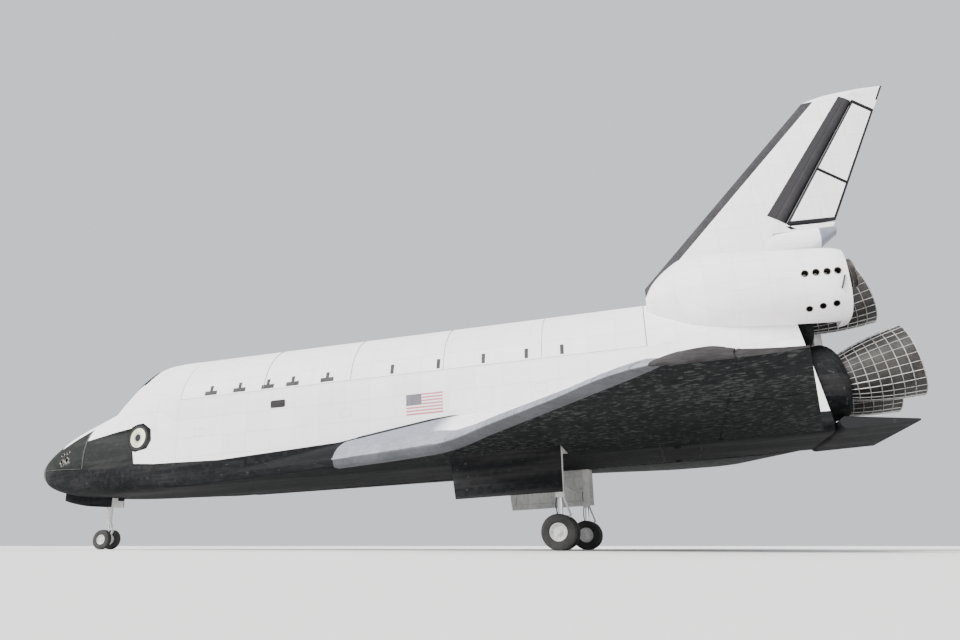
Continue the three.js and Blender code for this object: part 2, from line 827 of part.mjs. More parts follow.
// The plan of the strip of leading-edge panels: outside the wing in front, set back inside it.
function edgePlan(side, width, start) {
  const rows = WING_STATIONS.filter(([y]) => y >= EDGE_START_Y);
  const points = rows.map(([y, x]) => new THREE.Vector2(x, y));
  points[0].addScaledVector(points[1].clone().sub(points[0]).normalize(), start);
  const set = (distance) =>
    points.map((p, i) => {
      const before = points[Math.max(0, i - 1)];
      const after = points[Math.min(points.length - 1, i + 1)];
      const run = after.clone().sub(before).normalize();
      return [p.x + run.y * distance, p.y - run.x * distance];
    });
  const inner = set(width);
  const outer = set(-700);
  inner[inner.length - 1][1] += 400;
  outer[outer.length - 1][1] += 400;
  return [...inner, ...outer.reverse()].map(([x, y]) => [x, side * y]);
}

const edgeSpace = (side, width, start) => planPrism(edgePlan(side, width, start), [-4000, 0]);

// A rounded front for an elevon or its cove, along the hinge between two span stations.
const elevonFront = (side, [y0, y1], grow) => {
  const end = (y) => [WING_HINGE_X, side * y, wingFloor(y) + elevonRadius(y)];
  return rod(end(y0), end(y1), elevonRadius(y0) + grow, elevonRadius(y1) + grow, 20);
};

const spanBlock = (side, [y0, y1], x) =>
  block(x, side > 0 ? [y0, y1] : [-y1, -y0], [-4000, 0]);

function wingBox(side) {
  const [root, tip] = [ELEVON.rootGap - 15, WING_TIP_Y + 100];
  // The skins stop half a radius in front of the hinge, so the elevon's corners can swing past. The root
  // stub narrows aft, because the hinge leans and a raised elevon moves inboard.
  const lips = planPrism(
    [
      [WING_HINGE_X - 0.5 * elevonRadius(root), side * root],
      [WING_HINGE_X + 200, side * (root - 10)],
      [WING_HINGE_X + 3500, side * (root - 95)],
      [40000, side * tip],
      [WING_HINGE_X - 0.5 * elevonRadius(WING_TIP_Y), side * tip],
    ],
    [-4000, 0],
  );
  const { front, back, inner, outer, depth } = MAIN_WELL;
  const well = spanBlock(side, [inner, outer], [front, back]).intersect(
    block([front, back], [-13000, 13000], [-4000, BELLY_Z + depth]),
  );
  return wingWhole(side)
    .subtract(edgeSpace(side, EDGE_STRIP, 0))
    .subtract(tailLoft(-GAP))
    .subtract(lips)
    .subtract(elevonFront(side, [root, tip], RUNNING_GAP))
    .subtract(well);
}

const wingEdge = (side) => wingWhole(side).intersect(edgeSpace(side, EDGE_STRIP - GAP, 2 * GAP));

function elevon(side, range) {
  const wedge = wingWhole(side).intersect(spanBlock(side, range, [WING_HINGE_X, 40000]));
  return wedge.add(elevonFront(side, range, 0));
}

// Body flap under the engines

function bodyFlap() {
  const { x, z, radius, chord, halfWidth } = BODY_FLAP;
  const wedge = sidePrism(
    [
      [x, z - radius],
      [x + chord, z - radius + 60],
      [x + chord, z - radius + 120],
      [x, z + radius],
    ],
    [-halfWidth, halfWidth],
  );
  return wedge.add(rod([x, -halfWidth, z], [x, halfWidth, z], radius, radius, 20));
}

// Landing gear, in the ground frame

// A body-frame point in the ground frame.
function toGround([x, y, z]) {
  const [dx, dz] = [x - MAIN_GEAR_X, z - GROUND_Z];
  const [c, s] = [Math.cos(PITCH), Math.sin(PITCH)];
  return [MIDDLE_X + dx * c - dz * s, y, dx * s + dz * c];
}

const NOSE_GEAR = [MIDDLE_X - WHEELBASE, 0, NOSE_TYRE.radius];
const mainGear = (side) => [MIDDLE_X, side * MAIN_TRACK, MAIN_TYRE.radius];

// The two wheels share an axle, which turns in the foot of the leg.
const axleBore = ([x, y, z], { axle }) =>
  rod([x, y - 200, z], [x, y + 200, z], axle + RUNNING_GAP, axle + RUNNING_GAP, 16);

function mainLeg(side) {
  const [x, y, z] = mainGear(side);
  const roof = toGround([MAIN_GEAR_X, y, BELLY_Z + MAIN_WELL.depth])[2] - 120;
  const collar = z + 1250;
  const brace = toGround([MAIN_WELL.front + 600, y, BELLY_Z + 620]);
  const trunnion = (wellSide) => [x, side * wellSide, roof - 140];
  return joined(
    rod([x, y, collar - 150], [x, y, roof], 150),
    rod([x, y, z - 90], [x, y, collar], 95),
    rod(trunnion(MAIN_WELL.inner + GAP), trunnion(MAIN_WELL.outer - GAP), 80),
    rod([x, y, collar + 250], brace, 60),
    rod([x + 130, y, z + 120], [x + 330, y, z + 560], 36, 36, 8),
    rod([x + 330, y, z + 560], [x + 130, y, collar - 60], 36, 36, 8),
    rod([x, y, z + 120], [x + 150, y, z + 120], 40, 40, 8),
    rod([x, y, collar - 60], [x + 150, y, collar - 60], 40, 40, 8),
    rod([x, y - 140, z], [x, y + 140, z], 105, 105, 16),
  ).subtract(axleBore([x, y, z], MAIN_TYRE));
}

function noseLeg() {
  const [x, y, z] = NOSE_GEAR;
  const roof = toGround([3581, y, NOSE_WELL.roof])[2] - 60;
  const collar = z + 780;
  const brace = toGround([NOSE_WELL.front + 900, y, NOSE_WELL.roof - 250]);
  const trunnion = (side) => [x, side * (NOSE_WELL.halfWidth - GAP), roof - 110];
  return joined(
    rod([x, y, collar], [x, y, roof], 115),
    rod(trunnion(-1), trunnion(1), 60),
    rod([x, y, collar + 330], brace, 45),
  );
}

// The sliding part, with the axle's fork, turns with the steering.
function noseFork() {
  const [x, y, z] = NOSE_GEAR;
  const collar = z + 780;
  return joined(
    rod([x, y, z - 60], [x, y, collar - SLIDE_GAP], 72),
    rod([x, y, collar - 130], [x, y, collar - SLIDE_GAP], 112),
    rod([x + 90, y, z + 90], [x + 240, y, z + 340], 26, 26, 8),
    rod([x + 240, y, z + 340], [x + 90, y, collar - 90], 26, 26, 8),
    rod([x, y, z + 90], [x + 105, y, z + 90], 30, 30, 8),
    rod([x, y, collar - 90], [x + 105, y, collar - 90], 30, 30, 8),
    rod([x, y - 100, z], [x, y + 100, z], 72, 72, 16),
  ).subtract(axleBore([x, y, z], NOSE_TYRE));
}

// Gear doors hang open: the main ones from the well's outer edge, the nose ones from both sides.
function mainDoor(side) {
  const { front, back, outer } = MAIN_WELL;
  const top = wingFloor(outer) - GAP;
  const height = 1450;
  const outline = [
    [front + 20, top],
    [back - 20, top],
    [back - 60, top - height],
    [front + 160, top - height],
  ];
  return sidePrism(outline, side > 0 ? [outer - 70, outer] : [-outer, 70 - outer]);
}

function noseDoor(side) {
  const { front, back, halfWidth } = NOSE_WELL;
  const steps = [front + 10, 1900, 2700, back - 10];
  const belly = (x) => {
    const edge = bodyRing(x).filter(([, y, z]) => z < -2000 && Math.abs(y) < halfWidth + 500);
    return Math.max(...edge.map(([, , z]) => z));
  };
  const top = steps.map((x) => [x, belly(x) + 40]);
  const bottom = steps.map((x) => [x, belly(x) - 400]).reverse();
  return sidePrism(
    [...top, ...bottom],
    side > 0 ? [halfWidth - 42, halfWidth - 4] : [4 - halfWidth, 42 - halfWidth],
  );
}

// Assembly

function meshOf(name, solid, material) {
  const { vertProperties, triVerts, numProp } = solid.getMesh();
  const vertices = new Float32Array((vertProperties.length / numProp) * 3);
  for (let i = 0; i < vertices.length / 3; i++)
    vertices.set(vertProperties.subarray(i * numProp, i * numProp + 3), i * 3);
  const geometry = new THREE.BufferGeometry()
    .setAttribute("position", new THREE.BufferAttribute(vertices, 3))
    .setIndex(new THREE.BufferAttribute(triVerts, 1));
  geometry.computeVertexNormals();
  const mesh = new THREE.Mesh(geometry, material);
  mesh.name = name;
  return mesh;
}

const orbiter = new THREE.Group();

// The body frame: its ground point under the main wheels comes to the ground frame's MIDDLE_X.
const body = new THREE.Group();
body.rotation.y = -PITCH;
body.position.set(...toGround([0, 0, 0]));
orbiter.add(body);

const onBody = (name, solid, material) => body.add(meshOf(name, solid, material));
const onGround = (name, solid, material) => orbiter.add(meshOf(name, solid, material));

onBody("nose_cap", bodyLoft(0, NOSE_CAP_END), GREY_CARBON);
onBody("forward_thruster_module", thrusterModule(), BLACK_TILE);
onBody("nose_underbody", noseUnderbody(), BLACK_TILE);
onBody("cabin_shell", cabinShell(), WHITE);
onBody("window_glass", windowBand(GLASS_LAYER, GAP), GLASS);
onBody("side_hatch", hatchPlug(), WHITE);
onBody("side_hatch_window", hatchPane(), GLASS);
onBody("mid_fuselage", midFuselage(), WHITE);
onBody("aft_fuselage", aftFuselage(), WHITE);
onBody("base_heat_shield", heatShield(), BLACK_TILE);
ENGINES.forEach(({ name, at, up, out, root }) =>
  onBody(name, bell(BELL, BELL_WALL, root, at, aimFrom(at, up, out), 24), DARK_METAL),
);
onBody("fin", finBox(), WHITE);
onBody("fin_leading_edge", finEdge(), GREY_CARBON);
onBody("chute_housing", chuteHousing(0).subtract(tailLoft(-GAP)), WHITE);
onBody("rudder_hinge_cone", hingeCone(0, 20), DARK_SEAL);
onBody("body_flap", bodyFlap(), BLACK_TILE);

[
  ["left", -1],
  ["right", 1],
].forEach(([hand, side]) => {
  onBody(`bay_door_${hand}`, bayDoor(side), WHITE);
  onBody(`bay_radiator_${hand}`, radiator(side), SILVER);
  onBody(`engine_pod_${hand}`, enginePod(side), WHITE);
  const { at, up, out } = POD_NOZZLE;
  const place = [at[0], side * at[1], at[2]];
  onBody(
    `pod_nozzle_${hand}`,
    bell(POD_BELL, 30, POD_NOZZLE.root, place, aimFrom(place, up, side * out), 18),
    DARK_METAL,
  );
  onBody(`rudder_panel_lower_${hand}`, rudderPanel(side, false), WHITE);
  onBody(`rudder_panel_upper_${hand}`, rudderPanel(side, true), WHITE);
  onBody(`wing_${hand}`, wingBox(side), BLACK_TILE);
  onBody(`wing_leading_edge_${hand}`, wingEdge(side), GREY_CARBON);
  const { rootGap, split, splitGap, tip } = ELEVON;
  onBody(`elevon_inboard_${hand}`, elevon(side, [rootGap, split - splitGap]), BLACK_TILE);
  onBody(`elevon_outboard_${hand}`, elevon(side, [split + splitGap, tip]), BLACK_TILE);
  onBody(`main_gear_door_${hand}`, mainDoor(side), BLACK_TILE);
  onBody(`nose_gear_door_${hand}`, noseDoor(side), BLACK_TILE);

  onGround(`main_gear_leg_${hand}`, mainLeg(side), GEAR_WHITE);
  const [x, y, z] = mainGear(side);
  onGround(`main_wheels_${hand}`, wheelPair(MAIN_TYRE, [x, y, z]), GEAR_WHITE);
  [
    ["inner", -side],
    ["outer", side],
  ].forEach(([which, way]) =>
    onGround(
      `main_tyre_${which}_${hand}`,
      tyre(MAIN_TYRE, [x, y + way * MAIN_TYRE.y, z]),
      RUBBER,
    ),
  );
  onGround(
    `nose_tyre_${hand}`,
    tyre(NOSE_TYRE, [NOSE_GEAR[0], side * NOSE_TYRE.y, NOSE_GEAR[2]]),
    RUBBER,
  );
});

onGround("nose_gear_leg", noseLeg(), GEAR_WHITE);
onGround("nose_gear_fork", noseFork(), GEAR_WHITE);
onGround("nose_wheels", wheelPair(NOSE_TYRE, NOSE_GEAR), GEAR_WHITE);

export default orbiter;
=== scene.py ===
# %% [markdown]
# # A winged orbiter, parked on its wheels
# The solid model of the vehicle is the frame: it says where everything is and what moves. This lesson
# dresses it. Skins are drawn again from the same section tables, with many more points. What repeats, such
# as ribs and ports, grows from small Geometry Nodes trees. The colours come from node materials that know
# where they are on the vehicle.

import math

import bmesh
import bpy
import numpy as np
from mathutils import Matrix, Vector


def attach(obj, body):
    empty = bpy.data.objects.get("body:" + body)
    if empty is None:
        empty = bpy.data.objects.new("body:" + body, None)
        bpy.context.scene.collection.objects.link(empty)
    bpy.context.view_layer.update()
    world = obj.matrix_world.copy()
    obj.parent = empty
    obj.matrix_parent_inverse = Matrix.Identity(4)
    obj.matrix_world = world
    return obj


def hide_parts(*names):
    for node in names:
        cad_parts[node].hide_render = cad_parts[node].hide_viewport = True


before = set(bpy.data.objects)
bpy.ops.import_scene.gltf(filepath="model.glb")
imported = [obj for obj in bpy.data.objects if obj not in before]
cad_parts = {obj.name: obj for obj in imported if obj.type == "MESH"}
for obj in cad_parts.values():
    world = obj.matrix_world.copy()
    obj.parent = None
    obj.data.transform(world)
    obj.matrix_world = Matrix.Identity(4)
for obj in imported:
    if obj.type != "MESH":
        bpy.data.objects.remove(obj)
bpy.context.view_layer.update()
scene = bpy.context.scene

# %% [markdown]
# ## Two frames
# The vehicle's own sizes are simplest along its body: X aft from the nose tip, Y to starboard, Z up from
# the middle of the payload bay. On its wheels the body points 3 degrees nose-down. Every mesh is drawn in the
# body frame and its points are then turned into the ground frame, so each object stays at the origin.

# %% From the body frame to the ground
PITCH = math.radians(3)
MAIN_GEAR_X, GROUND_Z, MIDDLE_X = 23.774, -6.096, 5.7247
COS, SIN = math.cos(PITCH), math.sin(PITCH)
TURN = np.array([[COS, 0, SIN], [0, 1, 0], [-SIN, 0, COS]])
# The main axle's foot in either frame.
IN_BODY, ON_GROUND = np.array([MAIN_GEAR_X, 0, GROUND_Z]), np.array([MIDDLE_X, 0, 0])
SIDES = ((-1, "left"), (1, "right"))


def rows(points):
    return np.asarray(points, float).reshape(-1, 3)


def to_ground(points):
    return (rows(points) - IN_BODY) @ TURN + ON_GROUND


def to_body(points):
    return (rows(points) - ON_GROUND) @ TURN.T + IN_BODY


def mesh_object(name, points, faces, edges=(), grounded=False):
    place = rows(points) if grounded else to_ground(points)
    mesh = bpy.data.meshes.new(name)
    mesh.from_pydata(place.tolist(), list(edges), faces)
    mesh.update()
    made = bpy.data.objects.new(name, mesh)
    scene.collection.objects.link(made)
    return made


def face_out(o):
    bm = bmesh.new()
    bm.from_mesh(o.data)
    bmesh.ops.remove_doubles(bm, verts=bm.verts, dist=1e-5)
    bmesh.ops.recalc_face_normals(bm, faces=bm.faces)
    bm.to_mesh(o.data)
    bm.free()
    return o


def soften(o, angle=32):
    """Smooth shading, with an edge kept sharp where its faces meet at more than angle."""
    o.data.polygons.foreach_set("use_smooth", [True] * len(o.data.polygons))
    o.data.set_sharp_from_angle(angle=math.radians(angle))
    return o


# %% [markdown]
# ## Cutting
# Windows, a hatch and wheel wells are cut from the skins. Whole bodies are drawn and cut with others, as a
# machinist would. Blender's Manifold solver does that in a moment, as long as every body is closed. The
# modifier's result is then kept as a plain mesh.

# %% Keep what a modifier makes, and cut one body with others
def flatten(o):
    graph = bpy.context.evaluated_depsgraph_get()
    made = bpy.data.meshes.new_from_object(o.evaluated_get(graph), depsgraph=graph)
    o.modifiers.clear()
    o.data = made
    return o


def carve(target, how, *tools):
    for tool in tools:
        cut = target.modifiers.new("cut", "BOOLEAN")
        cut.operation, cut.object, cut.solver = how, tool, "MANIFOLD"
    flatten(target)
    for tool in tools:
        bpy.data.objects.remove(tool)
    return target


def minus(target, *tools):
    return carve(target, "DIFFERENCE", *tools)


def within(target, *tools):
    return carve(target, "INTERSECT", *tools)


def joined(name, *parts):
    """One object from several that touch or stand apart, with no cutting."""
    bm = bmesh.new()
    for part in parts:
        bm.from_mesh(part.data)
    made = bpy.data.objects.new(name, bpy.data.meshes.new(name))
    bm.to_mesh(made.data)
    bm.free()
    scene.collection.objects.link(made)
    for part in parts:
        bpy.data.objects.remove(part)
    return made


# %% [markdown]
# ## Lofts
# A hull, a wing and a pod are all the same thing: a row of closed sections with a skin through them. The
# loft also writes a UV map named lay, with metres along the body in u and metres round the section in v.
# Tiles and blankets are laid out on it, so their joints run round the skin as the real ones do.

# %% Skins through sections
def tube_faces(rings, count, ends=True):
    """Faces between rings of count points, and one over each end."""
    faces = []
    for first in range(0, (rings - 1) * count, count):
        for i in range(count):
            j = (i + 1) % count
            faces.append((first + i, first + j, first + count + j, first + count + i))
    if ends:
        faces += [tuple(range(count))[::-1], tuple(range((rings - 1) * count, rings * count))]
    return faces


def loft(name, rings, grounded=False, closed=True, mirrored=False):
    """mirrored is for rings that start at the keel: lay is then measured from the middle of each side."""
    rings = np.asarray(rings, float)
    count, n = rings.shape[:2]
    made = mesh_object(name, rings, tube_faces(count, n, closed), grounded=grounded)
    girth = np.zeros((count, n + 1))
    girth[:, 1:] = np.cumsum(np.linalg.norm(np.roll(rings, -1, 1) - rings, axis=2), 1)
    run = np.zeros(count)
    run[1:] = np.cumsum(np.linalg.norm(np.diff(rings.mean(1), axis=0), axis=1))
    lay = made.data.uv_layers.new(name="lay")
    uv = []
    for r in range(count - 1):
        for i in range(n):
            share = (0.25 if i < n / 2 else 0.75) * mirrored
            corners = ((r, i), (r, i + 1), (r + 1, i + 1), (r + 1, i))
            uv += [(run[a], girth[a, b] - share * girth[a, n]) for a, b in corners]
    uv += [(0, 0)] * (len(made.data.loops) - len(uv))
    lay.data.foreach_set("uv", np.ravel(uv))
    return face_out(made) if closed else made


# %% Blocks, prisms and turned bodies
def block(x, y, z):
    """A box between pairs of x, y and z in the body frame, as a cutting tool."""
    corners = ((y[0], z[0]), (y[1], z[0]), (y[1], z[1]), (y[0], z[1]))
    return loft("tool", [[(px, py, pz) for py, pz in corners] for px in x])


def side_prism(outline, y):
    """An outline of x and z, drawn through in y."""
    return loft("tool", [[(px, py, pz) for px, pz in outline] for py in y])


def plan_prism(outline, z):
    """An outline of x and y, drawn up through z."""
    return loft("tool", [[(px, py, pz) for px, py in outline] for pz in z])


def across(axis):
    """Two unit vectors square to axis and to each other."""
    axis = np.asarray(axis, float) / np.linalg.norm(axis)
    side = np.cross(axis, (0, 0, 1) if abs(axis[2]) < 0.9 else (0, 1, 0))
    side /= np.linalg.norm(side)
    return side, np.cross(axis, side)


def round_angles(count):
    return np.linspace(0, 2 * math.pi, count, endpoint=False)


def turned(name, profile, start, aim, sides=64, grounded=False):
    """A turned body: profile holds distance and radius along the line from start in the direction aim."""
    start, aim = np.asarray(start, float), np.asarray(aim, float) / np.linalg.norm(aim)
    u, w = across(aim)
    angles = round_angles(sides)
    circle = np.cos(angles)[:, None] * u + np.sin(angles)[:, None] * w
    rings = [start + aim * distance + circle * max(radius, 1e-4) for distance, radius in profile]
    return loft(name, rings, grounded=grounded)


def rod(name, a, b, radius, end_radius=None, sides=40, grounded=False, bevel=0.0):
    a, b = np.asarray(a, float), np.asarray(b, float)
    length = np.linalg.norm(b - a)
    end_radius = radius if end_radius is None else end_radius
    profile = [(0, radius), (length, end_radius)]
    if bevel:
        front = [(0, radius - bevel), (bevel, radius)]
        profile = front + [(length - bevel, end_radius), (length, end_radius - bevel)]
    return turned(name, profile, a, b - a, sides, grounded)


# %% [markdown]
# ## Smooth tables
# The stations of the hull are given in a short table. A monotone cubic goes smoothly through every tabled
# value without overshooting.

# %% A monotone cubic through a table
def smoothly(xs, ys, at):
    xs, ys, at = (np.asarray(v, float) for v in (xs, ys, at))
    h = np.diff(xs)
    d = np.diff(ys) / h
    slope = np.zeros(len(xs))
    rising = d[:-1] * d[1:] > 0
    w1, w2 = 2 * h[1:] + h[:-1], h[1:] + 2 * h[:-1]
    safe = np.where(rising, d[:-1], 1), np.where(rising, d[1:], 1)
    slope[1:-1] = np.where(rising, (w1 + w2) / (w1 / safe[0] + w2 / safe[1]), 0)
    slope[0], slope[-1] = d[0], d[-1]
    i = np.clip(np.searchsorted(xs, at) - 1, 0, len(h) - 1)
    t = (at - xs[i]) / h[i]
    a, b = 2 * t**3 - 3 * t**2 + 1, t**3 - 2 * t**2 + t
    return a * ys[i] + b * h[i] * slope[i] + (1 - a) * ys[i + 1] + (t**3 - t**2) * h[i] * slope[i + 1]


def read_table(table, x):
    """Every later column of a table, read smoothly at x in its first column."""
    return [float(smoothly(table[:, 0], column, x)) for column in table.T[1:]]


def mix(a, b, share):
    return a + share * (b - a)


def even_ring(points, count):
    """The same closed line with its points evenly spaced, from its first point."""
    loop = np.vstack([points, points[:1]])
    run = np.concatenate([[0], np.cumsum(np.linalg.norm(np.diff(loop, axis=0), axis=1))])
    at = np.linspace(0, run[-1], count, endpoint=False)
    return np.stack([np.interp(at, run, loop[:, k]) for k in range(3)], 1)


# %% [markdown]
# The hull's sections are round above and nearly square below, so each half is a superellipse with a power
# of its own: 2 is an ellipse, and 40 is almost a box. The nose is blunt, so its stations are read against
# the square root of x. The same functions answer where the skin is and which way it faces, so that every
# small fitting can be laid on it.

# %% The hull's sections
# Columns: x, half width, keel z, waist z, crown z, and the powers of the ellipses below and above the waist.
STATIONS = np.array([
    [0, 0.07, -1.64, -1.57, -1.5, 2, 2],
    [0.06, 0.26, -1.83, -1.57, -1.31, 2, 2],
    [0.2, 0.48, -2.02, -1.575, -1.13, 2.05, 2],
    [0.42, 0.68, -2.19, -1.585, -0.95, 2.15, 2],
    [0.64, 0.84, -2.31, -1.6, -0.8, 2.3, 2],
    [1.2, 1.17, -2.51, -1.61, -0.47, 2.6, 2.05],
    [1.9, 1.48, -2.68, -1.605, -0.11, 3, 2.1],
    [2.7, 1.74, -2.81, -1.565, 0.21, 3.6, 2.15],
    [3.607, 1.945, -2.89, -1.48, 0.51, 4.3, 2.2],
    [4.2, 2.08, -2.925, -1.4, 0.7, 4.8, 2.25],
    [4.7, 2.19, -2.945, -1.32, 0.9, 5.3, 2.3],
    [5.3, 2.31, -2.962, -1.18, 1.49, 5.8, 2.35],
    [5.9, 2.415, -2.97, -1.0, 2.08, 6.5, 2.35],
    [6.4, 2.49, -2.97, -0.85, 2.42, 7.5, 2.35],
    [7.0, 2.57, -2.97, -0.6, 2.6, 10, 2.3],
    [7.8, 2.64, -2.97, -0.3, 2.658, 16, 2.15],
    [8.636, 2.667, -2.97, 0, 2.667, 40, 2],
    [27.2, 2.667, -2.97, 0, 2.667, 40, 2],
    [29.0, 2.73, -2.97, 0, 2.65, 26, 2.1],
    [31.0, 2.85, -2.96, 0, 2.61, 18, 2.3],
    [33.4, 2.89, -2.94, 0, 2.56, 14, 2.4],
])
ROOT_STATIONS = np.column_stack([np.sqrt(STATIONS[:, 0]), STATIONS[:, 1:]])
HULL_POINTS = 132


def bulged(wave, power):
    """A sine or cosine pressed outwards, which makes a superellipse of a circle."""
    return np.sign(wave) * np.abs(wave) ** power


def arch(share, power):
    """How far out a superellipse stands at a share of its height."""
    return (1 - share**power) ** (1 / power)


def hull_values(x):
    """Half width, keel, waist, crown and the two powers at x."""
    return read_table(ROOT_STATIONS, math.sqrt(x))


def hull_ring(x, inset=0.0, count=HULL_POINTS):
    """The hull's section at x, drawn in by inset, from the keel up the starboard side and round."""
    half, keel, waist, crown, low_power, high_power = hull_values(x)
    t = np.linspace(-math.pi / 2, 1.5 * math.pi, 1440, endpoint=False)
    c, s = np.cos(t), np.sin(t)
    power = 2 / np.where(s > 0, high_power, low_power)
    height = np.where(s > 0, crown - waist - inset, waist - keel - inset)
    y, z = (half - inset) * bulged(c, power), waist + height * bulged(s, power)
    return even_ring(np.stack([np.full_like(y, x), y, z], 1), count)


def over_skin(x, y):
    """The point of the upper skin over x and y."""
    half, _, waist, crown, _, power = hull_values(x)
    return np.array([x, y, waist + (crown - waist) * arch(min(1.0, abs(y) / half), power)])


def under_skin(x, y):
    """The height of the belly under x and y."""
    half, keel, waist, _, power, _ = hull_values(x)
    return waist - (waist - keel) * arch(abs(y) / half, power)


def beside_skin(x, z, side=-1):
    """The point of the skin at x and z, to port unless side is 1."""
    half, keel, waist, crown, low_power, high_power = hull_values(x)
    power, reach = (high_power, crown - waist) if z > waist else (low_power, waist - keel)
    return np.array([x, side * half * arch(min(1.0, abs(z - waist) / reach), power), z])


def facing(place, a, b, *side):
    """The way the skin faces at a place: outwards on its side, or up where it has none."""
    step = 0.02
    here, aft, along = (place(*at, *side) for at in ((a, b), (a + step, b), (a, b + step)))
    out = np.cross(aft - here, along - here)
    out /= np.linalg.norm(out)
    outwards = out[1] * side[0] if side else out[2]
    return out if outwards > 0 else -out


def hull(name, start, end, inset=0.0, step=0.3, count=HULL_POINTS):
    """The hull between two stations. Rings stand closer together towards the blunt nose."""
    xs = [start]
    while xs[-1] < end - 1e-6:
        root = math.sqrt(xs[-1])
        xs.append(min(end, xs[-1] + min(step, 0.012 + 0.16 * root * max(0.3, root))))
    return loft(name, [hull_ring(x, inset, count) for x in xs], mirrored=True)


print("hull section at the bay:", hull_ring(12.0).max(0).round(3), hull_ring(12.0).min(0).round(3))

# %% [markdown]
# ## Finishes
# A finish is a node material. A Wire is a node's output, and sums and comparisons of wires add Math nodes, so
# a mask reads like a formula. A Finish adds one idea for each method, such as a noise or a grid of tiles.
# Positions come from Object coordinates turned back into the body frame, and joints from the lay map.

# %% Wires and finishes
def maths_node(how):
    """A method that puts a wire and what stands beside it through a Math node."""
    return lambda wire, *others: wire.finish.maths(how, wire, *others)


class Wire:
    """A node's output. On masks, * keeps what is in both and | what is in either."""

    __add__, __sub__, __mul__ = maths_node("ADD"), maths_node("SUBTRACT"), maths_node("MULTIPLY")
    __truediv__, __or__, __abs__ = maths_node("DIVIDE"), maths_node("MAXIMUM"), maths_node("ABSOLUTE")
    __lt__, __gt__ = maths_node("LESS_THAN"), maths_node("GREATER_THAN")

    def __init__(self, finish, socket):
        self.finish, self.socket = finish, socket

    def __rsub__(self, other):
        return self.finish.maths("SUBTRACT", other, self)


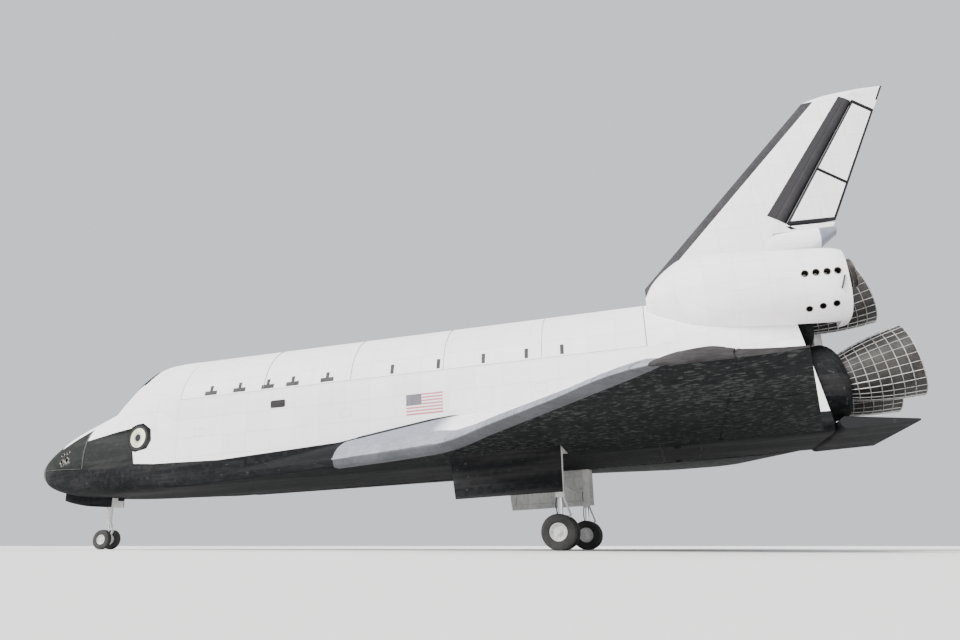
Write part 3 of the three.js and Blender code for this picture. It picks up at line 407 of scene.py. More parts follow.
class Finish:
    def __init__(self, name, **sockets):
        self.material = bpy.data.materials.new(name)
        self.material.use_nodes = True
        self.tree = self.material.node_tree
        self.tree.nodes.clear()
        self.shader = self.node("BsdfPrincipled", **sockets)
        self.node("OutputMaterial", Surface=Wire(self, self.shader.outputs["BSDF"]))

    def feed(self, socket, value):
        if isinstance(value, Wire):
            self.tree.links.new(value.socket, socket)
        else:
            socket.default_value = value

    def node(self, kind, settings=None, **sockets):
        made = self.tree.nodes.new("ShaderNode" + kind)
        for key, value in (settings or {}).items():
            setattr(made, key, value)
        for key, value in sockets.items():
            self.feed(made.inputs[key.replace("_", " ")], value)
        return made

    def wire(self, kind, settings=None, out=0, **sockets):
        """The output of a new node."""
        return Wire(self, self.node(kind, settings, **sockets).outputs[out])

    def parts(self, vector):
        return [Wire(self, socket) for socket in self.node("SeparateXYZ", Vector=vector).outputs]

    def maths(self, how, *values):
        made = self.node("Math", {"operation": how})
        for socket, value in zip(made.inputs, values):
            self.feed(socket, value)
        return Wire(self, made.outputs[0])

    def blend(self, share, a, b):
        """Colour a where share is 0 and b where it is 1."""
        made = self.node("Mix", {"data_type": "RGBA"})
        self.feed(made.inputs[0], share)
        for k, colour in ((6, a), (7, b)):
            self.feed(made.inputs[k], colour if isinstance(colour, Wire) else (*colour, 1))
        return Wire(self, made.outputs[2])

    def between(self, share, a, b):
        return self.wire("MapRange", Value=share, To_Min=a, To_Max=b)

    def ramp(self, value, low, high):
        smooth = {"interpolation_type": "SMOOTHSTEP"}
        return self.wire("MapRange", smooth, Value=value, From_Min=low, From_Max=high)

    def body_place(self):
        moved = (MAIN_GEAR_X - MIDDLE_X * COS, 0, GROUND_Z + MIDDLE_X * SIN)
        place = self.wire("TexCoord", out="Object")
        return self.wire("Mapping", Vector=place, Rotation=(0, PITCH, 0), Location=moved)

    def body_xyz(self):
        return self.parts(self.body_place())

    def noise(self, scale, stretch=(1, 1, 1), detail=3.0, roughness=0.55):
        place = self.wire("Mapping", Vector=self.body_place(), Scale=stretch)
        return self.wire("TexNoise", Vector=place, Scale=scale, Detail=detail, Roughness=roughness)

    def cells(self, size, gap, turn=0.0, long=1.0):
        """Cells on the lay map: a random number for each, and 1 on the joints between them."""
        lay = self.wire("UVMap", {"uv_map": "lay"})
        laid = self.wire("Mapping", Vector=lay, Rotation=(0, 0, turn))
        laid = self.wire("Mapping", Vector=laid, Scale=(1 / size / long, 1 / size, 1))
        whole = self.wire("VectorMath", {"operation": "FLOOR"}, Vector=laid)
        part = self.wire("VectorMath", {"operation": "FRACTION"}, Vector=laid)
        number = self.wire("TexWhiteNoise", {"noise_dimensions": "2D"}, "Value", Vector=whole)
        u, v, _ = self.parts(part)
        joint_u = abs(u - 0.5) > 0.5 - 0.5 * gap / size / long
        joint_v = abs(v - 0.5) > 0.5 - 0.5 * gap / size
        return number, joint_u | joint_v

    def inside(self, x, z, corners):
        """1 inside a convex outline of x and z, whose corners run anticlockwise."""
        least = None
        for (x0, z0), (x1, z1) in zip(corners, corners[1:] + corners[:1]):
            line = z * (x1 - x0) - x * (z1 - z0) + ((z1 - z0) * x0 - (x1 - x0) * z0)
            least = line if least is None else self.maths("MINIMUM", least, line)
        return least > 0.0

    def curve(self, value, points, low, high):
        """A line graph: points of value and result, with every result between low and high."""
        first, last = points[0][0], points[-1][0]
        share = self.wire("MapRange", Value=value, From_Min=first, From_Max=last)
        made = self.node("FloatCurve", Value=share)
        graph = made.mapping.curves[0]
        places = [((at - first) / (last - first), (to - low) / (high - low)) for at, to in points]
        graph.points[0].location, graph.points[1].location = places[0], places[-1]
        for place in places[1:-1]:
            graph.points.new(*place)
        for point in graph.points:
            point.handle_type = "VECTOR"
        made.mapping.update()
        return self.between(Wire(self, made.outputs[0]), low, high)

    def raise_by(self, height, depth, strength=1.0):
        bump = self.wire("Bump", Height=height, Distance=depth, Strength=strength)
        self.feed(self.shader.inputs["Normal"], bump)

    def wear(self, colour, roughness):
        self.feed(self.shader.inputs["Base Color"], colour)
        self.feed(self.shader.inputs["Roughness"], roughness)


def finish_as(o, *finishes):
    o.data.materials.clear()
    for finish in finishes:
        o.data.materials.append(finish.material)
    return o


# %% [markdown]
# ## Tiles and blankets
# The dark parts are silica tiles about 150 mm square: each came out of the kiln a little different, and the
# outdoor air has left some of them pale. The white parts are quilted blankets about a metre long, with
# faint seams and rain marks. The hull's finish needs the two of them side by side.

# %% The two looks
TILE, TILE_JOINT = 0.152, 0.01
BLANKET, BLANKET_SEAM, BLANKET_LONG = 0.762, 0.016, 1.35
SEAM_DEPTH = 0.004


def tile_look(f, turn=0.0, flecks=0.5, dust=0.6, chip=(7.0, (0.8, 1, 1))):
    """Colour, roughness and height of dark tiles. flecks is how many pale chips show, and chip their scale
    and stretch. dust is how much grey lies on them in long streaks."""
    number, joint = f.cells(TILE, TILE_JOINT, turn)
    streak = f.noise(1.9, (0.1, 0.6, 1.5), 6, 0.62)
    chips = f.noise(*chip, 2.5, 0.5)
    patch = f.noise(0.4, (0.5, 1, 1), 3)
    tone = f.blend(number * number, (0.009, 0.0098, 0.0105), (0.017, 0.018, 0.0193))
    tone = f.blend(f.ramp(streak, 0.42, 0.72) * dust, tone, (0.05, 0.048, 0.049))
    edge = 0.8 - patch * 0.25 - flecks * 0.1
    pale = f.ramp(chips - edge, 0.0, 0.12) * f.between(number, 0.45, 1.0)
    tone = f.blend(pale, tone, (0.06, 0.066, 0.063))
    tone = f.blend(joint * 0.35, tone, (0.03, 0.03, 0.032))
    return tone, f.between(number, 0.72, 0.9), number * 0.25 - joint


def blanket_look(f):
    """Colour, roughness and height of white quilted blankets."""
    number, joint = f.cells(BLANKET, BLANKET_SEAM, long=BLANKET_LONG)
    rain = f.noise(2.4, (1, 1, 0.16), 4)
    cloud = f.noise(0.55, detail=5, roughness=0.6)
    quilt = f.noise(14.0, detail=2)
    tone = f.blend(number, (0.89, 0.865, 0.885), (0.94, 0.92, 0.935))
    tone = f.blend(f.ramp(rain, 0.52, 0.8) * 0.24, tone, (0.66, 0.63, 0.63))
    tone = f.blend(f.ramp(cloud, 0.5, 0.85) * 0.2, tone, (0.7, 0.68, 0.71))
    tone = f.blend(joint * 0.2, tone, (0.5, 0.48, 0.5))
    return tone, f.between(quilt, 0.52, 0.68), quilt * 0.5 - joint


def plain_finish(name, look, gloss=0.5, **given):
    f = Finish(name, Specular_IOR_Level=gloss)
    tone, rough, height = look(f, **given)
    f.wear(tone, rough)
    f.raise_by(height, SEAM_DEPTH)
    return f


BLACK_TILES = plain_finish("black_tiles", tile_look, gloss=0.05, flecks=0.2)
WHITE_BLANKETS = plain_finish("white_blankets", blanket_look)

# %% [markdown]
# ## The hull's colour border
# Seen from the side, black runs along the belly, climbs over the nose and ends in an eight-sided patch round
# the crew's hatch. Behind it the border drops to the belly line, which rises slowly to the wing. It is
# written in metres of the body frame, so it stays true whichever panel it crosses.

# %% One finish for the hull
BELLY_LINE = [
    (3.607, -0.62), (6.4, -0.41), (6.45, -0.41), (6.46, -1.87), (7.6, -1.98), (10.55, -2.07),
    (15.64, -1.83), (17.0, -1.62), (27.0, -1.9), (29.0, -2.3), (34.0, -2.35),
]
HATCH_PATCH = [
    (6.44, -1.36), (6.6, -1.42), (7.19, -1.33), (7.39, -1.02),
    (7.33, -0.56), (6.92, -0.28), (6.6, -0.29), (6.3, -0.38),
]
NOSE_TOP = [(1.75, -0.76), (3.62, -0.07), (3.62, 1.2), (1.75, 1.2)]
NOSE_BACK, HATCH_FRONT = 3.608, 6.5
EDGE_TILE = 0.13
# Pale scuffs round the lower thruster ports of the nose: x, z, reach along and up.
SCUFFS = [(2.2, -1.42, 0.19, 0.15), (2.58, -1.38, 0.2, 0.15)]


def hull_finish():
    f = Finish("hull_skin", Specular_IOR_Level=0.05)
    x, y, z = f.body_xyz()
    border = f.curve(x, BELLY_LINE, -3.0, 0.0)
    patch = f.inside(x, z, HATCH_PATCH) * (y < 0)
    on_nose = x < NOSE_BACK
    black = ((z < border) | patch) * (x > NOSE_BACK) | (on_nose - f.inside(x, z, NOSE_TOP))
    tiles, blankets = tile_look(f, flecks=0.25, chip=(9.0, (0.45, 1, 1))), blanket_look(f)
    in_field = (z < border - EDGE_TILE) | on_nose
    bleached = in_field * (x < HATCH_FRONT) * f.ramp(z, -2.0, -1.3)
    tone = f.blend(bleached * 0.3, tiles[0], (0.05, 0.054, 0.05))
    for at_x, at_z, long, high in SCUFFS:
        along, over = (x - at_x) / long, (z - at_z) / high
        scuff = f.ramp(along * along + over * over, 1.6, 0.3) * f.ramp(f.noise(6.0), 0.35, 0.6)
        tone = f.blend(scuff, tone, (0.2, 0.21, 0.2))
    f.wear(f.blend(black, blankets[0], tone), f.between(black, 0.7, 0.82))
    f.raise_by(black * tiles[2] + (1 - black) * blankets[2], SEAM_DEPTH)
    return f


HULL_SKIN = hull_finish()

# %% [markdown]
# ## Smaller finishes
# Carbon edges, bare and painted metal, rubber and glass differ in how they scatter light more than in
# colour. Each gets its own grain or grime from a noise at the right scale.

# %% Metals, carbon, rubber and glass
def grained(name, dark, light, scale, rough, stretch=(1, 1, 1), depth=0.0015, **sockets):
    """A finish whose colour goes from dark to light with a grain of the given scale and stretch."""
    f = Finish(name, **sockets)
    grain = f.noise(scale, stretch, 5, 0.6)
    grime = f.noise(scale * 0.13, (1, 1, 0.6), 4)
    f.wear(f.blend(f.ramp(grime * 0.5 + grain * 0.5, 0.35, 0.66), dark, light), f.between(grain, *rough))
    f.raise_by(grain, depth, 0.6)
    return f


def matt(name, dark, light, scale, rough=(0.6, 0.8), stretch=(1, 1, 1), gloss=0.2):
    return grained(name, dark, light, scale, rough, stretch, Specular_IOR_Level=gloss)


def metal(name, dark, light, scale, rough, metallic, stretch=(1, 1, 1)):
    return grained(name, dark, light, scale, rough, stretch, Metallic=metallic)


SEAL_TONES = (0.0225, 0.022, 0.0235), (0.04, 0.038, 0.041)
FIN_CARBON = matt("fin_edge_tiles", (0.024, 0.024, 0.026), (0.048, 0.048, 0.053), 9)
SEAL_METAL = matt("hinge_seal_metal", *SEAL_TONES, 12, (0.7, 0.8), (1, 1, 4))
DARK_PANEL = matt("dark_panel", (0.03, 0.028, 0.029), (0.062, 0.059, 0.06), 9, (0.65, 0.8), (0.3, 1, 3), 0.1)
GREY_MARK = matt("grey_mark", (0.035, 0.034, 0.036), (0.075, 0.073, 0.077), 16)
BELL_DARK = metal("bell_wall", (0.012, 0.011, 0.011), (0.05, 0.046, 0.042), 10, (0.45, 0.7), 0.35)
BELL_RIBS = metal("bell_ribs", (0.42, 0.42, 0.41), (0.66, 0.66, 0.65), 12, (0.3, 0.5), 0.45)
PORT_METAL = metal("port_metal", (0.19, 0.17, 0.14), (0.42, 0.39, 0.35), 22, (0.3, 0.5), 0.8)
STRUT_CHROME = metal("strut_chrome", (0.6, 0.61, 0.62), (0.74, 0.75, 0.76), 30, (0.08, 0.2), 1.0, (1, 1, 8))
BRAKE_METAL = metal("hub_metal", (0.2, 0.2, 0.21), (0.42, 0.42, 0.43), 18, (0.35, 0.55), 0.7)
RADIATOR = metal("radiator_film", (0.66, 0.68, 0.7), (0.82, 0.83, 0.85), 3, (0.1, 0.24), 0.9)
NOSE_CARBON = grained(
    "nose_carbon", (0.022, 0.024, 0.027), (0.1, 0.1, 0.098), 5, (0.35, 0.6), (0.3, 1.2, 1.2)
)
# The leading edge's carbon is one grey: its paler upper finish is painted skylight and its darker lower
# finish is painted shade.
EDGE_UPPER = grained("wing_edge_upper", (0.155, 0.167, 0.197), (0.245, 0.262, 0.305), 8, (0.5, 0.65))
EDGE_LOWER = grained("wing_edge_lower", (0.045, 0.048, 0.055), (0.082, 0.087, 0.1), 8, (0.5, 0.65))
PORT_DARK = grained("port_throat", (0.004, 0.004, 0.004), (0.014, 0.013, 0.012), 14, (0.6, 0.85))
GEAR_PAINT = grained("gear_paint", (0.55, 0.55, 0.54), (0.74, 0.74, 0.72), 7, (0.32, 0.5))
TYRE_RUBBER = grained("tyre_rubber", (0.013, 0.013, 0.014), (0.042, 0.041, 0.04), 24, (0.72, 0.92))
GASKET = grained("window_gasket", (0.012, 0.012, 0.013), (0.04, 0.04, 0.042), 20, (0.5, 0.75))
PALE_SEAL = grained("pale_seal", (0.5, 0.49, 0.46), (0.68, 0.66, 0.62), 16, (0.5, 0.7))
MODULE_SEAL = grained("module_seal", (0.17, 0.175, 0.16), (0.32, 0.32, 0.29), 16, (0.5, 0.7))
BAY_LINER = grained("bay_liner", (0.36, 0.365, 0.355), (0.56, 0.56, 0.54), 4, (0.6, 0.8), depth=0.004)
CLEAR = {"rough": (0.03, 0.08), "depth": 0.0002, "Coat_Weight": 0.6}
WINDOW_GLASS = grained("window_glass", (0.006, 0.008, 0.011), (0.02, 0.024, 0.03), 2, **CLEAR)
print(len(bpy.data.materials), "finishes")

# %% [markdown]
# ## Handing a piece over
# Each finished piece says two things: the body it moves with and the solids it stands for. The solids it
# replaces stay in the physics model.

# %% Ride and replace
def hand_over(o, slot, *nodes, body="airframe"):
    if nodes:
        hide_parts(*nodes)
    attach(o, body)
    print(f"{o.name}: {len(o.data.polygons)} faces on {body}")


def dress(o, finish, slot, *nodes, body="airframe", angle=32):
    """Smooths a piece, gives it its one finish and hands it over."""
    hand_over(finish_as(soften(o, angle), finish), slot, *nodes, body=body)


def face_values(o, label, count=3, kind=float):
    values = np.zeros(len(o.data.polygons) * count, kind)
    o.data.polygons.foreach_get(label, values)
    return values


def paint_where(o, index, chosen):
    """Gives the faces that chosen picks the slot index. It sees their middles and ways in the body frame."""
    ways = rows(face_values(o, "normal")) @ TURN.T
    slots = face_values(o, "material_index", 1, np.int32)
    slots[chosen(to_body(face_values(o, "center")), ways)] = index
    o.data.polygons.foreach_set("material_index", slots)


# %% [markdown]
# ## Pieces that repeat
# Ribs, hoops, gaskets, pipes and seams are all a bead that follows a line. One Geometry Nodes tree makes
# curves of a mesh of bare edges and sweeps a small rounded profile of the asked width and height. Ports,
# bolts and marks are one small body set on many points, turned to face the way each point says. Both trees
# end in real geometry, which is then kept as a plain mesh.

# %% Two trees
def new_tree(name, sizes):
    """An empty tree with the named inputs. Gives back the inputs, and functions that add a node, read an
    attribute of the points and end the tree."""
    tree = bpy.data.node_groups.new(name, "GeometryNodeTree")
    for label, kind in {"Geometry": "Geometry", **sizes}.items():
        tree.interface.new_socket(label, in_out="INPUT", socket_type="NodeSocket" + kind)
    tree.interface.new_socket("Geometry", in_out="OUTPUT", socket_type="NodeSocketGeometry")
    start, end = tree.nodes.new("NodeGroupInput"), tree.nodes.new("NodeGroupOutput")

    def node(kind, settings=None, out=0, **links):
        made = tree.nodes.new(kind)
        for key, value in (settings or {}).items():
            setattr(made, key, value)
        for key, value in links.items():
            socket = made.inputs[int(key[1:])] if key[1:].isdigit() else made.inputs[key.replace("_", " ")]
            if isinstance(value, bpy.types.NodeSocket):
                tree.links.new(value, socket)
            else:
                socket.default_value = value
        return made.outputs[out]

    def read(label):
        return node("GeometryNodeInputNamedAttribute", {"data_type": "FLOAT_VECTOR"}, Name=label)

    def finish(made, **chosen):
        real = node("GeometryNodeRealizeInstances", Geometry=made)
        painted = node("GeometryNodeSetMaterial", Geometry=real, Material=start.outputs["Finish"], **chosen)
        tree.links.new(painted, end.inputs["Geometry"])
        return tree

    return start.outputs, node, read, finish


def bead_tree():
    """A closed bead along every line of edges, Width wide, and Height thick along the points' own out."""
    sizes = {"Width": "Float", "Height": "Float", "Sides": "Int", "Finish": "Material"}
    given, node, read, finish = new_tree("bead_along_lines", sizes)
    line = node("GeometryNodeMeshToCurve", Mesh=given["Geometry"])
    line = node("GeometryNodeSetCurveNormal", {"mode": "FREE"}, Curve=line, Normal=read("out"))
    ring = node("GeometryNodeCurvePrimitiveCircle", {"mode": "RADIUS"}, Resolution=given["Sides"], Radius=0.5)
    shape = node("ShaderNodeCombineXYZ", X=given["Width"], Y=given["Height"], Z=1.0)
    ring = node("GeometryNodeTransform", Geometry=ring, Scale=shape)
    return finish(node("GeometryNodeCurveToMesh", Curve=line, Profile_Curve=ring, Fill_Caps=True))


def studs_tree():
    """The same small body on every point, its Z along the point's own out and its X along its way. The
    finish goes on the faces of the body's first slot."""
    sizes = {"Stud": "Object", "Size": "Float", "Finish": "Material"}
    given, node, read, finish = new_tree("studs_on_points", sizes)
    stud = node("GeometryNodeObjectInfo", out="Geometry", Object=given["Stud"])
    turn = node("FunctionNodeAlignRotationToVector", {"axis": "Z"}, Vector=read("out"))
    aim = {"axis": "X", "pivot_axis": "Z"}
    turn = node("FunctionNodeAlignRotationToVector", aim, Rotation=turn, Vector=read("way"))
    spread = {"Points": given["Geometry"], "Instance": stud, "Rotation": turn, "Scale": given["Size"]}
    placed = node("GeometryNodeInstanceOnPoints", **spread)
    slot = node("GeometryNodeInputMaterialIndex")
    first = node("FunctionNodeCompare", {"data_type": "INT", "operation": "EQUAL"}, _2=slot, _3=0)
    return finish(placed, Selection=first)


BEADS, STUDS = bead_tree(), studs_tree()


# %% Beads and studs as pieces
def grow(o, tree, **inputs):
    """Runs a tree on o with its inputs set by their identifiers, and keeps the plain mesh."""
    modifier = o.modifiers.new("grow", "NODES")
    modifier.node_group = tree
    for item in tree.interface.items_tree:
        if item.in_out == "INPUT" and item.name in inputs:
            modifier[item.identifier] = inputs[item.name]
    o.update_tag()
    return flatten(o)


def keep_ways(o, label, ways, grounded):
    """Directions as an attribute of the points, turned as to_ground turns the points themselves."""
    w = rows(ways) if grounded else rows(ways) @ TURN
    o.data.attributes.new(label, "FLOAT_VECTOR", "POINT").data.foreach_set("vector", w.ravel())


def beads(name, lines, size, finish, slot, outs=None, body="airframe", sides=8, closed=True, grounded=False):
    """A bead along each line of points, handed over as a piece. size is its width and height. It is high
    along outs, or away from the middle of its line where none is given."""
    points, edges, ways = [], [], []
    for k, line in enumerate(lines):
        line = np.asarray(line, float)
        first, last = len(points), len(points) + len(line) - 1
        points += line.tolist()
        edges += [(i, i + 1) for i in range(first, last)] + ([(last, first)] if closed else [])
        ways += (line - line.mean(0) if outs is None else np.broadcast_to(outs[k], line.shape)).tolist()
    made = mesh_object(name, points, [], edges, grounded)
    keep_ways(made, "out", ways, grounded)
    grow(made, BEADS, Width=size[0], Height=size[1], Sides=sides, Finish=finish.material)
    hand_over(soften(face_out(made), 50), slot, body=body)


def studs(name, stud, places, slot, body="airframe", size=1.0, grounded=False):
    """A copy of stud at each place, handed over as a piece. A place holds its point, the way it faces and
    the way its X runs."""
    points, outs, ways = zip(*places)
    made = mesh_object(name, points, [], grounded=grounded)
    keep_ways(made, "out", outs, grounded)
    keep_ways(made, "way", ways, grounded)
    grow(made, STUDS, Stud=stud, Size=size, Finish=stud.data.materials[0])
    hand_over(made, slot, body=body)


def small_lathe(name, profile, finishes, bands, sides=28):
    """A small turned body at the origin with its axis along Z: bands gives each ring gap's finish."""
    points = [(r * math.cos(a), r * math.sin(a), z) for z, r in profile for a in round_angles(sides)]
    made = mesh_object(name, points, tube_faces(len(profile), sides), grounded=True)
    finish_as(made, *finishes)
    slots = np.append(np.repeat(bands, sides), [bands[0], bands[-1]])
    made.data.polygons.foreach_set("material_index", slots)
    return soften(face_out(made), 40)


# %% [markdown]
# ## The nose
# The nose is a carbon cap that takes the worst of the heat, a module of small thrusters above and behind it,
# and a tiled underbody with the nose wheel's well. All three are lengths of the same hull, cut along their
# joints. The thruster ports are real holes, each with a turned bowl set in it.

# %% Cap, module and underbody
NOSE_CAP_END, MODULE_END, UNDERBODY_END, NOSE_SPLIT_Z = 0.64, 3.607, 4.2, -1.5
BAY_START, BAY_END, GAP = 8.636, 27.2, 0.002
NOSE_WELL = {"front": 1.45, "back": 3.89, "outer": 0.4, "roof": -1.75}
PORT, LOW_PORT = 0.085, 0.1
# Thruster ports of the nose: x, then y on the upper skin or z on the sides, and radius.
TOP_PORTS = [
    (1.28, -0.32, PORT), (1.2, 0.0, PORT), (1.28, 0.32, PORT),
    (2.62, -0.38, PORT), (2.56, 0.0, PORT), (2.62, 0.38, PORT),
]
SIDE_PORTS = [(2.1, -1.06, PORT), (2.48, -1.0, PORT), (2.14, -1.36, LOW_PORT), (2.5, -1.32, LOW_PORT)]
PORT_DEPTH = 0.24
# The wall of a port's bowl for a radius of 1: up the inside, over the lip and down the outside.
BOWL = [
    (-2.2, 0.02), (-2.2, 0.5), (-1.4, 0.72), (-0.3, 0.93), (0.05, 0.96), (0.09, 1.02),
    (0.05, 1.12), (-0.12, 1.02), (-1.4, 0.8), (-2.3, 0.56), (-2.3, 0.02),
]
BOWL_BANDS = [0, 0, 0, 0, 1, 1, 1, 0, 0, 0]
# A round fitting under the belly with a dished middle: distance down from its root, and radius.
PAD = [
    (0, 0.0), (0, 0.13), (0.2, 0.13), (0.245, 0.125), (0.26, 0.11), (0.26, 0.07), (0.245, 0.05), (0.245, 0.0)
]


def nose_ports():
    for x, y, radius in TOP_PORTS:
        yield over_skin(x, y), facing(over_skin, x, y), radius
    for side, _ in SIDES:
        for x, z, radius in SIDE_PORTS:
            yield beside_skin(x, z, side), facing(beside_skin, x, z, side), radius


def port_cut(place, out, radius):
    return rod("tool", place - out * PORT_DEPTH, place + out * 0.3, radius + 0.004)


def set_ports(name, ports):
    """Sets a bowl in every port, as one piece for each radius."""
    bowl = small_lathe("port_bowl", BOWL, (PORT_DARK, PORT_METAL), BOWL_BANDS)
    for radius in sorted({port[2] for port in ports}):
        places = [(place, out, (1, 0, 0)) for place, out, its_radius in ports if its_radius == radius]
        studs(f"{name}_{round(radius * 1000)}", bowl, places, "bell_metal", size=radius)
    bpy.data.objects.remove(bowl)


def attach_pad(x, y):
    return turned("tool", PAD, (x, y, -2.77), (0, 0, -1), 40)


def inside_of(well):
    """A test for the walls and the roof of a well that is open below."""

    def chosen(m, w):
        near = (m[:, 0] > well["front"] - 0.01) & (m[:, 0] < well["back"] + 0.01)
        near &= (np.abs(m[:, 1]) < well["outer"] + 0.005) & (m[:, 2] < well["roof"] + 0.01)
        return near & ((np.abs(w[:, 2]) < 0.05) | (m[:, 2] > well["roof"] - 0.05))

    return chosen


def skin_lines(paths, sides=(-1, 1)):
    """Lines of x and z laid on the skin of each side, with the ways the skin faces there."""
    lines, outs = [], []
    for side in sides:
        for path in paths:
            lines.append([beside_skin(x, z, side) for x, z in path])
            outs.append([facing(beside_skin, x, z, side) for x, z in path])
    return lines, outs


dress(hull("nose_cap_skin", 0.0, NOSE_CAP_END), NOSE_CARBON, "grey_panels", "nose_cap")

ports = list(nose_ports())
module = hull("thruster_module_skin", NOSE_CAP_END + GAP, MODULE_END, step=0.1)
within(module, block((0, 5), (-3, 3), (NOSE_SPLIT_Z + GAP, 3)))
minus(module, *(port_cut(*port) for port in ports))
dress(module, HULL_SKIN, "white_skin", "forward_thruster_module")

underbody = hull("nose_underbody_skin", NOSE_CAP_END + GAP, UNDERBODY_END, step=0.1)
within(underbody, block((0, 5), (-3, 3), (-4, NOSE_SPLIT_Z)))
front, back, outer, roof = NOSE_WELL.values()
minus(underbody, block((front, back), (-outer, outer), (-4, roof)))
underbody = joined("nose_underbody_tiles", underbody, attach_pad(4.05, 0))
finish_as(soften(underbody), HULL_SKIN, GEAR_PAINT)
paint_where(underbody, 1, inside_of(NOSE_WELL))
hand_over(underbody, "black_tiles", "nose_underbody")
set_ports("nose_ports", ports)

module_foot = [(x, -1.58 - 0.075 * (x - 0.66)) for x in np.linspace(0.66, 3.56, 40)]
module_back = [(MODULE_END - 0.03, z) for z in np.linspace(-1.78, -0.28, 24)]
lines, outs = skin_lines([module_foot, module_back])
beads("nose_seal_lines", lines, (0.07, 0.01), MODULE_SEAL, "grey_panels", outs, closed=False)

# %% [markdown]
# ## The crew cabin
# The cabin is a shell with a room inside. The openings of its windows are cut through the skin along the way
# it faces there, and the glass is one curved layer a little under the skin. A black gasket follows each rim.

# %% Windows
# Corners of the starboard windows in plan, lower front corner first and round.
WINDOWS = [
    [(4.86, 0.07), (5.09, 0.8), (5.96, 0.64), (5.86, 0.07)],
    [(5.14, 0.89), (5.64, 1.5), (6.33, 1.13), (6.02, 0.73)],
    [(5.73, 1.57), (6.4, 1.9), (6.7, 1.5), (6.4, 1.2)],
    [(6.76, 0.18), (6.76, 0.72), (7.23, 0.72), (7.23, 0.18)],
]
CABIN_ROOM, CABIN_WALL = (4.35, 8.436), 0.15


def rounded(corners, radius, steps=6, along=4):
    """A closed outline with its corners rounded off and points along its sides."""
    corners = np.asarray(corners, float)
    line = []
    for k, corner in enumerate(corners):
        following = corners[(k + 1) % len(corners)]
        ways = corners[k - 1] - corner, following - corner
        start, end = (corner + way * min(radius / np.linalg.norm(way), 0.45) for way in ways)
        stop = following - (end - corner)
        for t in np.linspace(0, 1, steps):
            line.append((1 - t) ** 2 * start + 2 * t * (1 - t) * corner + t * t * end)
        line += [mix(end, stop, t) for t in np.linspace(0, 1, along + 1, endpoint=False)[1:]]
    return np.array(line)


def rounded_box(middle, size, radius, along=4):
    corners = [(-0.5, -0.5), (0.5, -0.5), (0.5, 0.5), (-0.5, 0.5)]
    return rounded(np.add(middle, np.multiply(corners, size)), radius, 4, along)


def window_rim(corners, side):
    """Points of the skin round a window, and the way the window faces."""
    rim = [over_skin(x, y) for x, y in rounded([(x, y * side) for x, y in corners], 0.13)]
    a, b, c = (over_skin(x, y * side) for x, y in corners[:3])
    out = np.cross(b - a, c - a)
    return np.array(rim), out * math.copysign(1, out[2]) / np.linalg.norm(out)


rims = [window_rim(corners, side) for corners in WINDOWS for side, _ in SIDES]
holes = [loft("tool", [rim - out * 0.42, rim + out * 0.3]) for rim, out in rims]
cabin = hull("crew_cabin_skin", MODULE_END + GAP, BAY_START - GAP, step=0.09, count=200)
over_underbody = block((3.4, UNDERBODY_END + GAP), (-3, 3), (-4, NOSE_SPLIT_Z + GAP))
minus(cabin, over_underbody, hull("tool", *CABIN_ROOM, inset=CABIN_WALL, step=0.2))
minus(cabin, *holes)
print(len(rims), "windows cut in the cabin, which has", len(cabin.data.polygons), "faces")

# %% [markdown]
# The hatch is a round plug in the port wall, turned to lie in the skin. It is the same hull again, cut by a
# rod, so its face is exactly the skin's curve. Its rings and its small window come from beads and a pane.

# %% Hatch and glass
HATCH_MIDDLE, HATCH_LEAN = np.array([6.69, -2.528, -0.85]), 0.133
HATCH_OUT = np.array([-math.sin(HATCH_LEAN), -math.cos(HATCH_LEAN), 0])
HATCH_AFT = np.array([math.cos(HATCH_LEAN), -math.sin(HATCH_LEAN), 0])
HATCH_RADIUS, HATCH_GAP, HATCH_DEPTH = 0.508, 0.018, 0.12
CREAM_RADIUS, INNER_RING, HATCH_WINDOW, PANE_DEPTH = 0.4, 0.2, 0.13, 0.05


def hatch_cut(radius):
    return rod("tool", HATCH_MIDDLE + HATCH_OUT * 0.6, HATCH_MIDDLE - HATCH_OUT * 0.7, radius, sides=96)


def hatch_ring(radius, count=72):
    """Points of the skin at a radius from the hatch's middle."""
    line = []
    for a in round_angles(count):
        x, _, z = HATCH_MIDDLE + radius * (HATCH_AFT * math.cos(a) + np.array([0, 0, math.sin(a)]))
        line.append(beside_skin(x, z))
    return line


def hatch_finish():
    """Cream tiles in a ring of twenty dark ones, with rain marks."""
    f = Finish("hatch_skin", Specular_IOR_Level=0.3)
    x, _, z = f.body_xyz()
    aft, up = x - HATCH_MIDDLE[0], z - HATCH_MIDDLE[2]
    ring = aft * aft + up * up > CREAM_RADIUS**2
    turn = f.maths("FRACT", f.maths("ARCTAN2", up, aft) * (10 / math.pi))
    joint = abs(turn - 0.5) > 0.46
    rain = f.ramp(f.noise(3.0, (1, 1, 0.3), 4), 0.4, 0.65)
    cream = f.blend(rain, (0.83, 0.84, 0.68), (0.6, 0.61, 0.46))
    dark = f.blend(joint, (0.014, 0.015, 0.016), (0.035, 0.035, 0.037))
    f.wear(f.blend(ring, cream, dark), f.between(f.noise(9.0), 0.5, 0.75))
    f.raise_by(f.noise(12.0) - ring * joint, 0.003)
    return f


def hatch_body(name, radius, depth):
    wall = hull(name, 5.9, 7.5, step=0.05, count=260)
    minus(wall, hull("tool", 5.85, 7.55, inset=depth, step=0.1))
    return within(wall, hatch_cut(radius))


minus(cabin, hatch_cut(HATCH_RADIUS + HATCH_GAP))
dress(cabin, HULL_SKIN, "white_skin", "cabin_shell")

